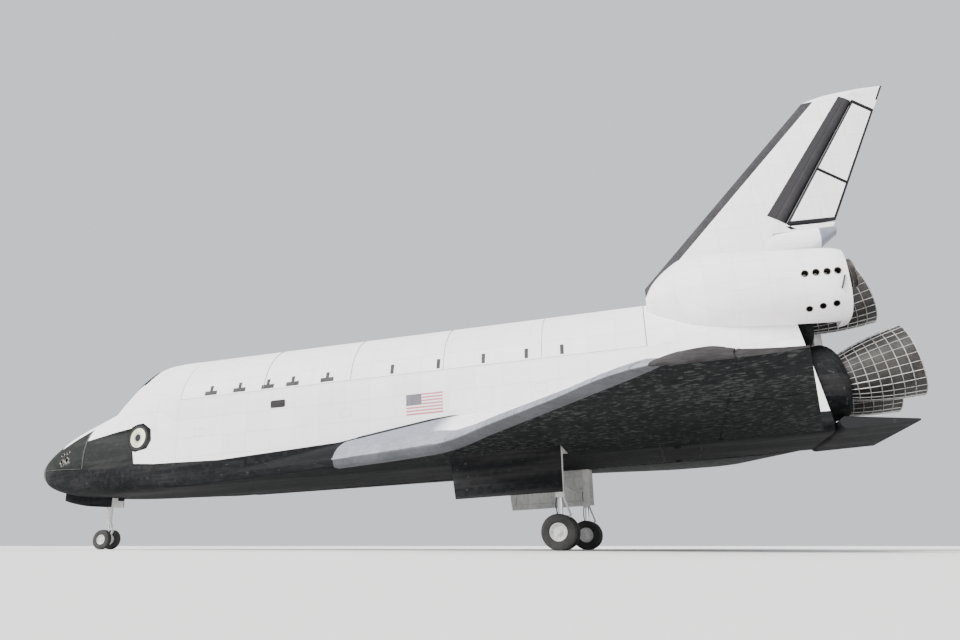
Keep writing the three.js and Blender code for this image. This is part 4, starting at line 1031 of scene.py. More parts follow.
hatch = minus(hatch_body("side_hatch_plug", HATCH_RADIUS, HATCH_DEPTH), hatch_cut(HATCH_WINDOW))
dress(hatch, hatch_finish(), "white_skin", "side_hatch", body="side_hatch")
pane = hatch_body("side_hatch_pane", HATCH_WINDOW - GAP, PANE_DEPTH)
dress(pane, WINDOW_GLASS, "window_glass", "side_hatch_window", body="side_hatch")
seal = {"slot": "hinge_seal", "body": "side_hatch"}
rings = [hatch_ring(CREAM_RADIUS), hatch_ring(INNER_RING)]
beads("side_hatch_rings", rings, (0.016, 0.01), GREY_MARK, outs=[HATCH_OUT] * 2, **seal)
rim = [hatch_ring(HATCH_WINDOW + 0.012, 40)]
beads("side_hatch_window_rim", rim, (0.026, 0.016), GASKET, outs=[HATCH_OUT], **seal)

glass = hull("cabin_glass", 4.64, 7.42, inset=0.06, step=0.1, count=160)
minus(glass, hull("tool", 4.6, 7.46, inset=0.09, step=0.1, count=160))
within(glass, block((4, 8), (-3, 3), (0.76, 3)))
dress(glass, WINDOW_GLASS, "window_glass", "window_glass")
lines, outs = zip(*rims)
beads("window_gaskets", lines, (0.06, 0.016), GASKET, "hinge_seal", outs)

# %% [markdown]
# ## The payload bay
# The middle of the body is a trough: a tub with flat sides outside, round inside, open above. Frames cross
# it every metre and a half, so a row of beads is grown along their half circles.

# %% The trough and its frames
DOOR_HINGE_Z, SILL_DROP, BAY_RADIUS = 0.508, 0.014, 2.33
SILL_TOP = DOOR_HINGE_Z - SILL_DROP
FRAME_PITCH, BAY_END_WALL = 1.42, 0.06


def arc(x, radius, low, high, side=1, steps=40):
    """Points at x round the bay's axis between two angles from level."""
    angles = np.linspace(low, high, steps + 1)
    return [(x, side * radius * math.cos(a), radius * math.sin(a)) for a in angles]


def from_axis(lines, way=1):
    """Ways square to the bay's axis at each point of the lines: outwards, or inwards where way is -1."""
    return [np.array(line) * (0, way, way) for line in lines]


def inside_bay(m, w):
    return (np.hypot(m[:, 1], np.minimum(m[:, 2], 0)) < BAY_RADIUS + 0.01) | (m[:, 2] > SILL_TOP - 0.004)


long = (BAY_START + BAY_END_WALL, BAY_END - BAY_END_WALL)
trough = hull("mid_body_trough", BAY_START, BAY_END, step=0.6)
room = rod("tool", (long[0], 0, 0), (long[1], 0, 0), BAY_RADIUS, sides=120)
minus(trough, room, block((BAY_START - 0.01, BAY_END + 0.01), (-3, 3), (SILL_TOP, 3)))
minus(trough, block(long, (-BAY_RADIUS, BAY_RADIUS), (0, 3)))
finish_as(soften(trough), HULL_SKIN, BAY_LINER)
paint_where(trough, 1, inside_bay)
hand_over(trough, "white_skin", "mid_fuselage")

xs = np.arange(BAY_START + 0.7, BAY_END - 0.2, FRAME_PITCH)
lines = [arc(x, BAY_RADIUS - 0.02, math.pi, 2 * math.pi) for x in xs]
beads("bay_frames", lines, (0.09, 0.12), BAY_LINER, "white_skin", from_axis(lines, -1), closed=False)
lines, outs = [], []
for side, _ in SIDES:
    for z in (-0.12, -0.6):
        lines.append([(x, side * (BAY_RADIUS - 0.03), z) for x in (BAY_START + 0.08, BAY_END - 0.08)])
        outs.append((0, -side, 0))
beads("bay_longerons", lines, (0.07, 0.05), BAY_LINER, "white_skin", outs, closed=False)

# %% [markdown]
# ## Bay doors and radiators
# Each door is one long curved panel in five lengths. The joints between the lengths are raised straps, which
# grow along arcs of the door. The radiator under it is silver film on a thin panel, with the flow tubes
# showing through.

# %% Doors
DOOR_THICKNESS, BODY_RADIUS = 0.17, 2.667
DOOR_INNER = BODY_RADIUS - DOOR_THICKNESS
DOOR_SPAN = (BAY_START + 0.02, BAY_END - 0.02)
RADIATOR_SPAN = (BAY_START + 0.4, BAY_START + 13.4)
RADIATOR_RADII, RADIATOR_FOOT, RADIATOR_CENTRE_GAP = (DOOR_INNER - 0.07, DOOR_INNER - 0.016), 0.9, 0.26
TUBE_PITCH = 0.26


def bay_panel(name, radii, side, xs, lowest, centre_gap):
    """A curved panel between two radii, from a lowest height to a gap beside the middle."""
    inner, outer = radii
    low, high = math.asin(lowest / outer), math.pi / 2 - centre_gap / outer
    return loft(name, [arc(x, outer, low, high, side) + arc(x, inner, high, low, side) for x in xs])


def door_arcs(xs, radius, side, lowest, highest):
    """Arcs along the door between two heights."""
    low, high = math.asin(lowest / radius), math.asin(highest / radius)
    return [arc(x, radius, low, high, side, 30) for x in xs]


def bay_door(side, word):
    name, body, radii = f"bay_door_panel_{word}", f"bay_door_{word}", (DOOR_INNER, BODY_RADIUS)
    door = bay_panel(name, radii, side, np.linspace(*DOOR_SPAN, 24), DOOR_HINGE_Z - 0.08, 0.012)
    minus(door, block((BAY_START, BAY_END), (-3, 3), (-1, DOOR_HINGE_Z)))
    finish_as(soften(door), WHITE_BLANKETS, BAY_LINER)
    paint_where(door, 1, lambda m, w: np.hypot(m[:, 1], m[:, 2]) < BODY_RADIUS - 0.02)
    hand_over(door, "white_skin", body, body=body)
    joints = np.linspace(*DOOR_SPAN, 6)[1:-1]
    arcs = door_arcs(joints, BODY_RADIUS, side, DOOR_HINGE_Z + 0.02, BODY_RADIUS - 0.002)
    given = {"outs": from_axis(arcs), "body": body, "closed": False}
    beads(f"bay_door_joints_{word}", arcs, (0.07, 0.012), PALE_SEAL, "white_skin", **given)


def radiator(side, word):
    name, body, gap = f"radiator_film_{word}", f"bay_door_{word}", RADIATOR_CENTRE_GAP
    film = bay_panel(name, RADIATOR_RADII, side, np.linspace(*RADIATOR_SPAN, 14), RADIATOR_FOOT, gap)
    dress(film, RADIATOR, "radiator_silver", f"bay_radiator_{word}", body=body)
    inner = RADIATOR_RADII[0]
    xs = np.arange(RADIATOR_SPAN[0] + 0.13, RADIATOR_SPAN[1], TUBE_PITCH)
    arcs = door_arcs(xs, inner - 0.004, side, RADIATOR_FOOT + 0.04, inner * math.cos(gap / inner) - 0.03)
    given = {"outs": from_axis(arcs), "body": body, "sides": 6, "closed": False}
    beads(f"radiator_tubes_{word}", arcs, (0.02, 0.012), RADIATOR, "radiator_silver", **given)


for side, word in SIDES:
    bay_door(side, word)
    radiator(side, word)

# %% [markdown]
# ## Wings
# A delta wing with a long thin glove in front of it. Each span station is one closed section: flat below,
# with its nose curled up and its thickest point near the middle. The stations are read smoothly across the
# span. The whole wing is then cut into its box, its leading edge and its elevons, as the solids are.

# %% Wing sections
WING_HINGE_X, WING_ROOT_Y, WING_TIP_Y, DIHEDRAL, BELLY_Z = 29.235, 2.669, 11.896, 0.0612, -2.97
HINGE_THICKNESS = (0.64, 0.21)
# Columns: span station, leading edge x, most thickness, where it is, the nose's curl, and its ramp's share.
WING_STATIONS = np.array([
    [2.669, 8.7, 1.68, 0.47, 0.02, 1],
    [3.3, 12.2, 1.58, 0.44, 0.03, 0.8],
    [3.95, 16.0, 1.47, 0.42, 0.04, 0.5],
    [4.5, 18.5, 1.36, 0.4, 0.05, 0.25],
    [5.0, 20.06, 1.26, 0.4, 0.06, 0.1],
    [5.5, 20.8, 1.17, 0.4, 0.07, 0],
    [7.0, 22.24, 0.96, 0.4, 0.08, 0],
    [9.5, 24.74, 0.65, 0.4, 0.09, 0],
    [11.5, 26.74, 0.42, 0.4, 0.1, 0],
    [11.896, 27.5, 0.33, 0.4, 0.1, 0],
])
TRAILING_X, TRAILING_SWEEP, TRAILING_THICKNESS = 32.748, 0.1773, 0.05
TIP_ROUNDING = 0.09
TIP_START = WING_TIP_Y - TIP_ROUNDING
NOSE_POINTS = 44
WING_YS = np.concatenate([
    np.linspace(WING_ROOT_Y, 6, 34),
    np.linspace(6, TIP_START, 22)[1:],
    TIP_START + TIP_ROUNDING * np.sin(np.linspace(0, math.pi / 2, 6)[1:]),
])


def wing_floor(y):
    return BELLY_Z + 0.001 + DIHEDRAL * (y - WING_ROOT_Y)


def hinge_radius(y):
    return mix(*HINGE_THICKNESS, (y - WING_ROOT_Y) / (WING_TIP_Y - WING_ROOT_Y)) / 2


def wing_section(y, side):
    """The closed section at y: along the floor to the trailing edge, and back over the top."""
    front, most, most_at, curl, ramp = read_table(WING_STATIONS, y)
    back = TRAILING_X - TRAILING_SWEEP * y
    hinge = (WING_HINGE_X - front) / (back - front)
    fore = hinge * (1 - np.cos(np.linspace(0, math.pi / 2, NOSE_POINTS))) ** 1.35
    s = np.concatenate([fore, np.linspace(hinge, 1, 12)[1:]])
    behind = (s - hinge) / (1 - hinge)
    ends = 2 * hinge_radius(y)
    t = np.clip((s - most_at) / (hinge - most_at), 0, 1)
    u = np.clip(s / most_at, 0, 1)
    thick = most * mix(np.sqrt(1 - (1 - u) ** 2), u**0.9, ramp)
    thick = np.where(s >= most_at, mix(most, ends, t * (0.6 + 0.4 * t)), thick)
    thick = np.where(s >= hinge, mix(ends, TRAILING_THICKNESS, behind), thick)
    floor = wing_floor(y) + np.where(s < curl, 0.16 * most * (1 - s / curl) ** 2, 0)
    floor += np.where(s > hinge, 0.06 * behind**2, 0)
    inward = max(0.0, y - TIP_START) / TIP_ROUNDING
    half = thick * 0.5 * (0.25 + 0.75 * math.sqrt(max(0.0, 1 - inward**2)))
    x, middle = mix(front, back, s), floor + thick * 0.5
    x, z = np.append(x, x[:0:-1]), np.append(middle - half, (middle + half)[:0:-1])
    return np.stack([x, np.full(len(x), side * y), z], 1)


def whole_wing(side, name="tool"):
    return loft(name, [wing_section(y, side) for y in WING_YS])


print("wing section at the root:", wing_section(WING_ROOT_Y, 1).max(0).round(3))

# %% [markdown]
# On the real wing the carbon panels of the leading edge bolt to the front of the box, and the elevons hang on
# its rear beam with a round front that turns in a cove. Each joint is one closed cutting body. The same body
# trims both neighbours, a little larger for one of them, so the gap between them is even.

# %% Where the wing is divided
EDGE_STRIP, EDGE_START_Y, EDGE_REACH = 0.4, 3.95, 0.7
ELEVON_SPANS = {"inboard": (2.94, 7.89), "outboard": (7.97, 11.85)}
MAIN_WELL = {"front": 20.4, "back": 24.15, "inner": 2.79, "outer": 4.29, "roof": BELLY_Z + 1.0}
RUNNING_GAP = 0.012


def edge_space(side, width, start=0.0):
    """The strip in front of a line set back from the leading edge, seen from above."""
    ys = np.append(np.linspace(EDGE_START_Y, 7, 24), [8, 9.5, 11.5, WING_TIP_Y])
    points = np.stack([smoothly(WING_STATIONS[:, 0], WING_STATIONS[:, 1], ys), ys], 1)
    run = np.gradient(points, axis=0)
    run /= np.linalg.norm(run, axis=1)[:, None]
    aft = np.stack([run[:, 1], -run[:, 0]], 1)
    points[0] += run[0] * start
    inner, outer = points + aft * width, points - aft * EDGE_REACH
    inner[-1, 1] += 0.4
    outer[-1, 1] += 0.4
    plan = np.concatenate([inner, outer[::-1]])
    return plan_prism([(x, side * y) for x, y in plan], (-4, 0))


def elevon_front(side, span, grow=0.0):
    a, b = ((WING_HINGE_X, side * y, wing_floor(y) + hinge_radius(y)) for y in span)
    return rod("tool", a, b, hinge_radius(span[0]) + grow, hinge_radius(span[1]) + grow, sides=72)


def sided(side, a, b):
    """Two distances from the middle as a rising pair of y on one side."""
    return sorted((side * a, side * b))


def behind_base(offset=0.0):
    """Everything behind the slanted plane that closes the body."""
    high, low = (31.74 - 0.1616 * (z - 2.6) + offset for z in (6, -6))
    return side_prism([(high, 6), (45, 6), (45, -6), (low, -6)], (-6, 6))


def tail_hull(inset=0.0, name="tool"):
    return hull(name, BAY_END + GAP, 33.4, inset, step=0.4)


print("elevons span", ELEVON_SPANS)

# %% [markdown]
# The box is the main part of each wing: dark tiles below, white blankets above. The strip of carbon panels in
# front is one grey, painted paler on its faces turned up as painted skylight and darker on the others as
# painted shade, with thin dark joints between its panels.

# %% Wing boxes, leading edges and elevons
PANEL_JOINTS = 21
GLOVE_TONES = (0.17, 0.183, 0.215), (0.29, 0.31, 0.355)


def wing_finish():
    """Above, grey on the glove beside its edge panels and white behind it. Black below and in front, with
    more pale tiles on the wing than on the glove."""
    f = Finish("wing_skin", Specular_IOR_Level=0.05)
    x = f.body_xyz()[0]
    way = f.wire("NewGeometry", out="Normal")
    way = f.wire("VectorRotate", {"rotation_type": "Y_AXIS"}, Vector=way, Angle=PITCH)
    white = (f.parts(way)[2] > 0.1) * (x > 15.95)
    flecks = f.between(f.ramp(x, 17.5, 21.5), 0.1, 1.5)
    turn = math.radians(45)
    tiles = tile_look(f, turn=turn, flecks=flecks, dust=0.15, chip=(9.0, (0.55, 0.8, 1)))
    blankets = blanket_look(f)
    above = f.blend(f.ramp(x, 19.7, 20.7), f.blend(f.noise(6.0), *GLOVE_TONES), blankets[0])
    f.wear(f.blend(white, tiles[0], above), f.between(white, 0.82, 0.7))
    f.raise_by(white * blankets[2] + (1 - white) * tiles[2], SEAM_DEPTH)
    return f


WING_SKIN = wing_finish()


def on_wing_tip(m, w):
    return (np.abs(w[:, 1]) > 0.5) & (np.abs(m[:, 1]) > 11.7)


def wing_box(side, word):
    root, tip, well = 2.925, WING_TIP_Y + 0.1, MAIN_WELL
    lips = [
        (WING_HINGE_X - 0.5 * hinge_radius(root), root),
        (WING_HINGE_X + 0.2, root - 0.01),
        (WING_HINGE_X + 3.5, root - 0.095),
        (40, tip),
        (WING_HINGE_X - 0.5 * hinge_radius(WING_TIP_Y), tip),
    ]
    cuts = [
        edge_space(side, EDGE_STRIP),
        tail_hull(-GAP),
        plan_prism([(x, side * y) for x, y in lips], (-4, 0)),
        elevon_front(side, (root, tip), RUNNING_GAP),
        block((well["front"], well["back"]), sided(side, well["inner"], well["outer"]), (-4, well["roof"])),
    ]
    box = minus(whole_wing(side, f"wing_box_{word}"), *cuts)
    finish_as(soften(box), WING_SKIN, DARK_PANEL, GEAR_PAINT)
    paint_where(box, 1, on_wing_tip)
    paint_where(box, 2, inside_of(MAIN_WELL))
    hand_over(box, "white_skin", f"wing_{word}")
    joint = [p for p in wing_section(WING_ROOT_Y + 0.03, side)[55:] if 15.9 < p[0] < 27.1]
    name, outs = f"wing_root_joint_{word}", [(0, side, 1)]
    beads(name, [joint], (0.15, 0.06), GASKET, "hinge_seal", outs, closed=False)


def edge_joints(side):
    """Lines round the leading edge at the joints between its panels."""
    lines = []
    for y in np.linspace(EDGE_START_Y + 0.25, WING_TIP_Y - 0.3, PANEL_JOINTS):
        ring = np.roll(wing_section(y, side), 30, 0)[:61]
        lines.append(ring[np.linalg.norm(ring - ring[30], axis=1) < EDGE_STRIP * 0.93])
    return lines, [line - line.mean(0) - (0.3, 0, 0) for line in lines]


def leading_edge(side, word):
    space = edge_space(side, EDGE_STRIP - GAP, 2 * GAP)
    strip = within(whole_wing(side, f"wing_edge_panels_{word}"), space)
    finish_as(soften(strip, 50), EDGE_LOWER, EDGE_UPPER, DARK_PANEL)
    # Faces turned up take the paler grey as painted skylight, and the rest take the darker grey as painted
    # shade.
    paint_where(strip, 1, lambda m, w: w[:, 2] > 0.1)
    paint_where(strip, 2, on_wing_tip)
    hand_over(strip, "grey_panels", f"wing_leading_edge_{word}")
    lines, outs = edge_joints(side)
    name = f"wing_edge_joints_{word}"
    beads(name, lines, (0.014, 0.006), EDGE_LOWER, "grey_panels", outs, closed=False)


def elevon(side, word, part):
    span, body = ELEVON_SPANS[part], f"elevon_{part}_{word}"
    flap = whole_wing(side, f"elevon_{part}_skin_{word}")
    within(flap, block((WING_HINGE_X, 40), sided(side, *span), (-4, 0)))
    carve(flap, "UNION", elevon_front(side, span))
    finish_as(soften(flap), WING_SKIN, DARK_PANEL)
    paint_where(flap, 1, on_wing_tip)
    hand_over(flap, "white_skin", body, body=body)


for side, word in SIDES:
    wing_box(side, word)
    leading_edge(side, word)
    for part in ELEVON_SPANS:
        elevon(side, word, part)

# %% [markdown]
# ## The tail
# The back of the body ends in a slanted plane with a black heat shield, and each engine comes out through a
# dome on it. The domes are turned bodies, trimmed by the body's own skin as the real ones are.

# %% Aft body and heat shield
ENGINES = [
    {"name": "main_engine_top", "at": (30.709, 0, 1.092), "up": 16, "out": 0, "root": 1.312},
    {"name": "main_engine_left", "at": (31.297, -1.346, -1.457), "up": 10, "out": -3.5, "root": 1.11},
    {"name": "main_engine_right", "at": (31.297, 1.346, -1.457), "up": 10, "out": 3.5, "root": 1.11},
]
AFT_PAD_X, AFT_PAD_Y = 27.757, 2.206
SHIELD_THICKNESS, SHIELD_INSET = 0.04, 0.09
# Distance along the engine's axis and radius.
DOME = [(0.9, 0), (0.9, 1.29), (1.7, 1.29), (1.8, 1.27), (1.95, 1.18), (2.06, 1.06), (2.15, 0.9), (2.15, 0)]
HOLE_AT_MOUTH = 0.79 + RUNNING_GAP
DOME_HOLE = [(0.8, 0), (0.8, 0.62), (1.85, 0.65 + RUNNING_GAP), (2.2, HOLE_AT_MOUTH), (2.4, 0.86), (2.4, 0)]


def aim_of(up, out):
    up, out = math.radians(up), math.radians(out)
    return np.array([math.cos(up) * math.cos(out), math.cos(up) * math.sin(out), math.sin(up)])


aft = minus(tail_hull(), behind_base())
aft = joined("aft_body_skin", aft, attach_pad(AFT_PAD_X, AFT_PAD_Y), attach_pad(AFT_PAD_X, -AFT_PAD_Y))
dress(aft, HULL_SKIN, "white_skin", "aft_fuselage")

shield = within(tail_hull(SHIELD_INSET, "heat_shield"), behind_base(GAP))
minus(shield, behind_base(SHIELD_THICKNESS + GAP))
for engine in ENGINES:
    dome = turned("tool", DOME, engine["at"], aim_of(engine["up"], engine["out"]), 96)
    within(dome, behind_base(GAP), tail_hull(0.06))
    carve(shield, "UNION", dome)
for engine in ENGINES:
    minus(shield, turned("tool", DOME_HOLE, engine["at"], aim_of(engine["up"], engine["out"]), 72))
dress(shield, BLACK_TILES, "black_tiles", "base_heat_shield")

# %% [markdown]
# ## Engine bells
# A bell is a thin turned wall on a narrower neck. What the eye sees from outside is the cooling jacket: pale
# hoops and stringers, with dark cells between. Both are beads, along circles and along the bell's own curve.

# %% Main engines
# Distance along the axis and radius: the neck's end, then the outer line to the mouth.
BELL = [(1.58, 0.3), (1.58, 0.47), (1.85, 0.65), (2.3, 0.83), (2.9, 0.99), (3.55, 1.108), (4.267, 1.194)]
BELL_WALL = 0.045
HOOPS, STRINGERS = 9, 26


def bell_curve(bell, steps=40):
    """The bell's outer line read smoothly from its knots, from the narrow end to the mouth."""
    knots = np.array(bell[1:])
    at = np.linspace(knots[0, 0], knots[-1, 0], steps)
    return np.stack([at, smoothly(knots[:, 0], knots[:, 1], at)], 1)


def bell_profile(bell, wall, root):
    """Round the whole wall: neck, outside, over the lip, and down the inside to a closed throat."""
    outer = bell_curve(bell)
    start, neck_radius = bell[0][0], bell[1][1]
    inner = outer[outer[:, 0] > start + 0.04] - (0, wall)
    neck = [(root, 0), (root, neck_radius), (start, neck_radius)]
    return [*neck, *outer[1:], *inner[::-1], (start + wall, 0)]


def on_axis(at, aim, distance, radius, angle):
    u, w = across(aim)
    return at + aim * distance + (u * math.cos(angle) + w * math.sin(angle)) * radius


def bell_hoops(bell, at, aim, count, proud):
    outer = bell_curve(bell)
    lines = []
    for distance in np.linspace(outer[0, 0] + 0.12, outer[-1, 0] - 0.02, count):
        radius = float(smoothly(outer[:, 0], outer[:, 1], distance)) + proud
        lines.append([on_axis(at, aim, distance, radius, a) for a in round_angles(72)])
    return lines


def bell_stringers(bell, at, aim, count, proud):
    """Lines down the bell, and the ways from its axis at each of their points."""
    outer = bell_curve(bell, 18)[1:]
    angles = round_angles(count)
    lines = [[on_axis(at, aim, distance, radius + proud, a) for distance, radius in outer] for a in angles]
    return lines, [[on_axis(0, aim, 0, 1, a)] * len(outer) for a in angles]


for engine in ENGINES:
    name, at, aim = engine["name"], np.array(engine["at"], float), aim_of(engine["up"], engine["out"])
    wall = turned(f"{name}_wall", bell_profile(BELL, BELL_WALL, engine["root"]), at, aim, 96)
    dress(wall, BELL_DARK, "bell_metal", name)
    lines = bell_hoops(BELL, at, aim, HOOPS, -0.008)
    beads(f"{name}_hoops", lines, (0.062, 0.032), BELL_RIBS, "bell_metal")
    lines, outs = bell_stringers(BELL, at, aim, STRINGERS, -0.006)
    given = {"outs": outs, "sides": 6, "closed": False}
    beads(f"{name}_stringers", lines, (0.046, 0.024), BELL_RIBS, "bell_metal", **given)
    lip = [on_axis(at, aim, BELL[-1][0] - 0.015, BELL[-1][1] - 0.01, a) for a in round_angles(96)]
    beads(f"{name}_lip", [lip], (0.07, 0.03), BELL_RIBS, "bell_metal")

# %% [markdown]
# ## Engine pods
# The two pods on the shoulders are blunt teardrops. Each is lofted through rounded-square sections, then cut
# by the body, by the fin's root and by a recess for its own engine.

# %% Pods
# Columns: x, centre y, centre z, half width, half height, power.
POD_STATIONS = np.array([
    [27.33, 1.45, 2.25, 0.5, 0.33, 2],
    [27.6, 1.48, 2.3, 0.8, 0.72, 2],
    [28.1, 1.56, 2.33, 1.08, 1.12, 2.1],
    [28.9, 1.7, 2.28, 1.28, 1.51, 2.2],
    [30.5, 2.1, 2.09, 1.46, 1.47, 2.3],
    [32.2, 2.35, 1.89, 1.43, 1.34, 2.5],
    [33.4, 2.44, 1.78, 1.36, 1.28, 2.7],
    [33.7, 2.44, 1.76, 1.28, 1.2, 2.7],
])
POD_XS = np.concatenate([
    27.33 + 0.45 * np.linspace(0, 1, 14) ** 2,
    np.linspace(27.78, 33.4, 34)[1:],
    [33.5, 33.58, 33.64, 33.68, 33.7],
])
POD_POINTS = 96
POD_NOZZLE = {"at": (32.7, 2.33, 2.0), "up": 10, "out": 4, "root": 0.702}
POD_BELL = [(0.9, 0.13), (0.9, 0.24), (1.06, 0.37), (1.25, 0.45), (1.48, 0.5)]
POD_RECESS = [(0.7, 0), (0.7, 0.48), (1.4, 0.54), (1.4, 0)]
# A black bead near the pod's aft edge, painted shade standing in for a slot: its x and its z at either end.
POD_SLOT = (33.4, 33.55), (1.34, 1.76)
# Side ports of a pod: x, z, radius.
POD_PORTS = [
    (32.4, 1.98, 0.11), (32.73, 1.97, 0.11), (33.06, 1.95, 0.11), (33.38, 1.94, 0.11),
    (32.4, 0.88, 0.1), (32.8, 0.9, 0.1), (33.2, 0.92, 0.1),
]


def pod_ring(x, side):
    y, z, half, height, power = read_table(POD_STATIONS, x)
    t = round_angles(POD_POINTS)
    ys, zs = y + half * bulged(np.cos(t), 2 / power), z + height * bulged(np.sin(t), 2 / power)
    return even_ring(np.stack([np.full(POD_POINTS, x), side * ys, zs], 1), POD_POINTS)


def beside_pod(x, z, side):
    y, middle, half, height, power = read_table(POD_STATIONS, x)
    return np.array([x, side * (y + half * arch(min(1.0, abs(z - middle) / height), power)), z])


def pod_body(side, word, place, aim, ports):
    pod = loft(f"engine_pod_skin_{word}", [pod_ring(x, side) for x in POD_XS])
    floor = minus(behind_base(-0.001), block((20, 50), (-7, 7), (1.5, 9)))
    within(floor, block((26, 40), sided(side, -6, 2.1), (-4, 1.5)))
    recess = turned("tool", POD_RECESS, place, aim, 64)
    minus(pod, tail_hull(-GAP), block((26, 40), sided(side, -6, 0.43), (0, 8)), floor, recess)
    minus(pod, *(port_cut(*port) for port in ports))
    dress(pod, WHITE_BLANKETS, "white_skin", f"engine_pod_{word}")


def pod_nozzle(word, place, aim):
    profile = bell_profile(POD_BELL, 0.025, POD_NOZZLE["root"])
    wall = turned(f"pod_nozzle_wall_{word}", profile, place, aim, 72)
    dress(wall, BELL_DARK, "bell_metal", f"pod_nozzle_{word}")
    lines = bell_hoops(POD_BELL, place, aim, 4, -0.004)
    beads(f"pod_nozzle_hoops_{word}", lines, (0.03, 0.02), PORT_METAL, "bell_metal")


def pod_slot(side, word):
    # The bead is black as painted shade inside a slot; no opening is cut.
    path = [(mix(*POD_SLOT[0], t), mix(*POD_SLOT[1], t), side) for t in np.linspace(0, 1, 8)]
    line, outs = [beside_pod(*at) for at in path], [facing(beside_pod, *at) for at in path]
    beads(f"pod_slot_{word}", [line], (0.17, 0.04), GASKET, "hinge_seal", [outs], closed=False)


for side, word in SIDES:
    place = np.array(POD_NOZZLE["at"]) * (1, side, 1)
    aim = aim_of(POD_NOZZLE["up"], side * POD_NOZZLE["out"])
    at = [(x, z, side) for x, z, _ in POD_PORTS]
    ports = [(beside_pod(*a), facing(beside_pod, *a), port[2]) for a, port in zip(at, POD_PORTS)]
    pod_body(side, word, place, aim, ports)
    pod_nozzle(word, place, aim)
    set_ports(f"pod_ports_{word}", ports)
    pod_slot(side, word)

# %% [markdown]
# ## The fin and its rudder
# The fin is a swept wing standing on the body, thickest at the rudder's hinge. The rudder is two pairs of
# panels behind a cone that is as thick as the fin there. All of it is cut from one whole fin.

# %% Fin
FIN_ROOT = {"z": 2.616, "front": 26.467, "back": 33.284, "thick": 0.74}
FIN_TIP = {"z": 10.566, "front": 34.483, "back": 37.236, "thick": 0.41}
FIN_FOOT_Z, FIN_BEVEL_FROM, FIN_TOP_Z, FIN_SETBACK = 2.2, 10.29, 10.48, 0.56
FIN_HINGE, FIN_EDGE, FIN_TRAILING = 0.6, 0.33, 0.12
# Share of the chord and of the thickness there, up to the hinge.
FIN_PROFILE = np.array([[0, 0.03], [0.015, 0.2], [0.05, 0.38], [0.15, 0.62], [0.3, 0.82], [0.6, 1]])
RUDDER_Z, RUDDER_SPLIT, FIN_LEDGE, RUDDER_FOOT = (5.408, 10.08), 2.56, 0.5, 0.38
FIN_REACH = (-1, 1)


def fin_at(z, key):
    return mix(FIN_ROOT[key], FIN_TIP[key], (z - FIN_ROOT["z"]) / (FIN_TIP["z"] - FIN_ROOT["z"]))


def fin_ring(z, setback=0.0):
    front, back, half = fin_at(z, "front") + setback, fin_at(z, "back"), fin_at(z, "thick") / 2
    s = np.append(FIN_HINGE * np.linspace(0, 1, 34) ** 2, np.linspace(FIN_HINGE, 1, 14)[1:])
    fore = smoothly(np.sqrt(FIN_PROFILE[:, 0]), FIN_PROFILE[:, 1], np.sqrt(np.minimum(s, FIN_HINGE)))
    aft = mix(1, FIN_TRAILING, (s - FIN_HINGE) / (1 - FIN_HINGE))
    x, y = mix(front, back, s), half * np.where(s > FIN_HINGE, aft, fore)
    return np.stack([np.append(x, x[::-1]), np.append(y, -y[::-1]), np.full(2 * len(x), z)], 1)


def whole_fin(name):
    rings = [fin_ring(z) for z in np.linspace(FIN_FOOT_Z, FIN_BEVEL_FROM, 28)]
    for t in np.linspace(0, 1, 6)[1:]:
        ring = fin_ring(mix(FIN_BEVEL_FROM, FIN_TOP_Z, t), FIN_SETBACK * t**1.4)
        rings.append(ring * (1, math.sqrt(1 - 0.75 * t**2), 1))
    return loft(name, rings)


def hinge_x(z):
    return mix(fin_at(z, "front"), fin_at(z, "back"), FIN_HINGE)


HINGE_WAY = np.array([hinge_x(RUDDER_Z[1]) - hinge_x(RUDDER_Z[0]), RUDDER_Z[1] - RUDDER_Z[0]])
HINGE_WAY /= np.linalg.norm(HINGE_WAY)
CONE_RADII = [fin_at(z, "thick") / 2 for z in RUDDER_Z]


def across_hinge(z, forward, up=0.0):
    """x and z of a place measured from the hinge: forward across it and up along it."""
    u, w = HINGE_WAY
    return hinge_x(z) - w * forward + u * up, z + u * forward + w * up


def hinge_box(z, forwards, ups):
    """Corners of a box square to the hinge, anticlockwise, from pairs of across_hinge's measures."""
    (fore, aft), (low, high) = forwards, ups
    return [across_hinge(z, *at) for at in ((fore, low), (aft, low), (aft, high), (fore, high))]


def rudder_space(inset, reach, foot):
    """The room for the rudder. reach is how far it goes in front of the hinge, in radii of the cone."""
    low, high = RUDDER_Z
    bottom = across_hinge(low, -foot, inset)
    outline = [
        across_hinge(low, reach * CONE_RADII[0], inset),
        across_hinge(high, reach * CONE_RADII[1], -inset),
        across_hinge(high, -3, -inset),
        (39, bottom[1]),
        bottom,
    ]
    return side_prism(outline, FIN_REACH)


def hinge_cone(name, grow=0.0, shorten=0.0):
    (x0, z0), (x1, z1) = across_hinge(RUDDER_Z[0], 0, shorten), across_hinge(RUDDER_Z[1], 0, -shorten)
    radii = (radius + grow for radius in CONE_RADII)
    return rod(name, (x0, 0, z0), (x1, 0, z1), *radii, sides=72)


def fin_edge_space(width):
    low, high = (fin_at(z, "front") + width * math.sqrt(2) for z in (1.8, 10.25))
    return side_prism([(low, 1.8), (20, 1.8), (20, 12), (high, 10.25)], FIN_REACH)


def over_doors():
    return block((20, BAY_END + 0.12), FIN_REACH, (0, 4))


print("rudder hinge leans", round(math.degrees(math.atan2(*HINGE_WAY)), 1), "degrees aft")

# %% [markdown]
# A blunt housing for the drag chute stands in the fin's foot. It is lofted like a pod and the fin is cut
# round it.

# %% Chute housing
# Columns: x, centre z, half width, half height.
CHUTE_HOUSING = np.array([
    [31.3, 4.3, 0.12, 0.12],
    [31.7, 4.4, 0.3, 0.4],
    [32.4, 4.44, 0.37, 0.51],
    [33.5, 4.48, 0.36, 0.46],
    [34.48, 4.78, 0.23, 0.16],
])
CHUTE_POINTS, CHUTE_POWER, CHUTE_SHADOW_X = 64, 0.8, 33.85


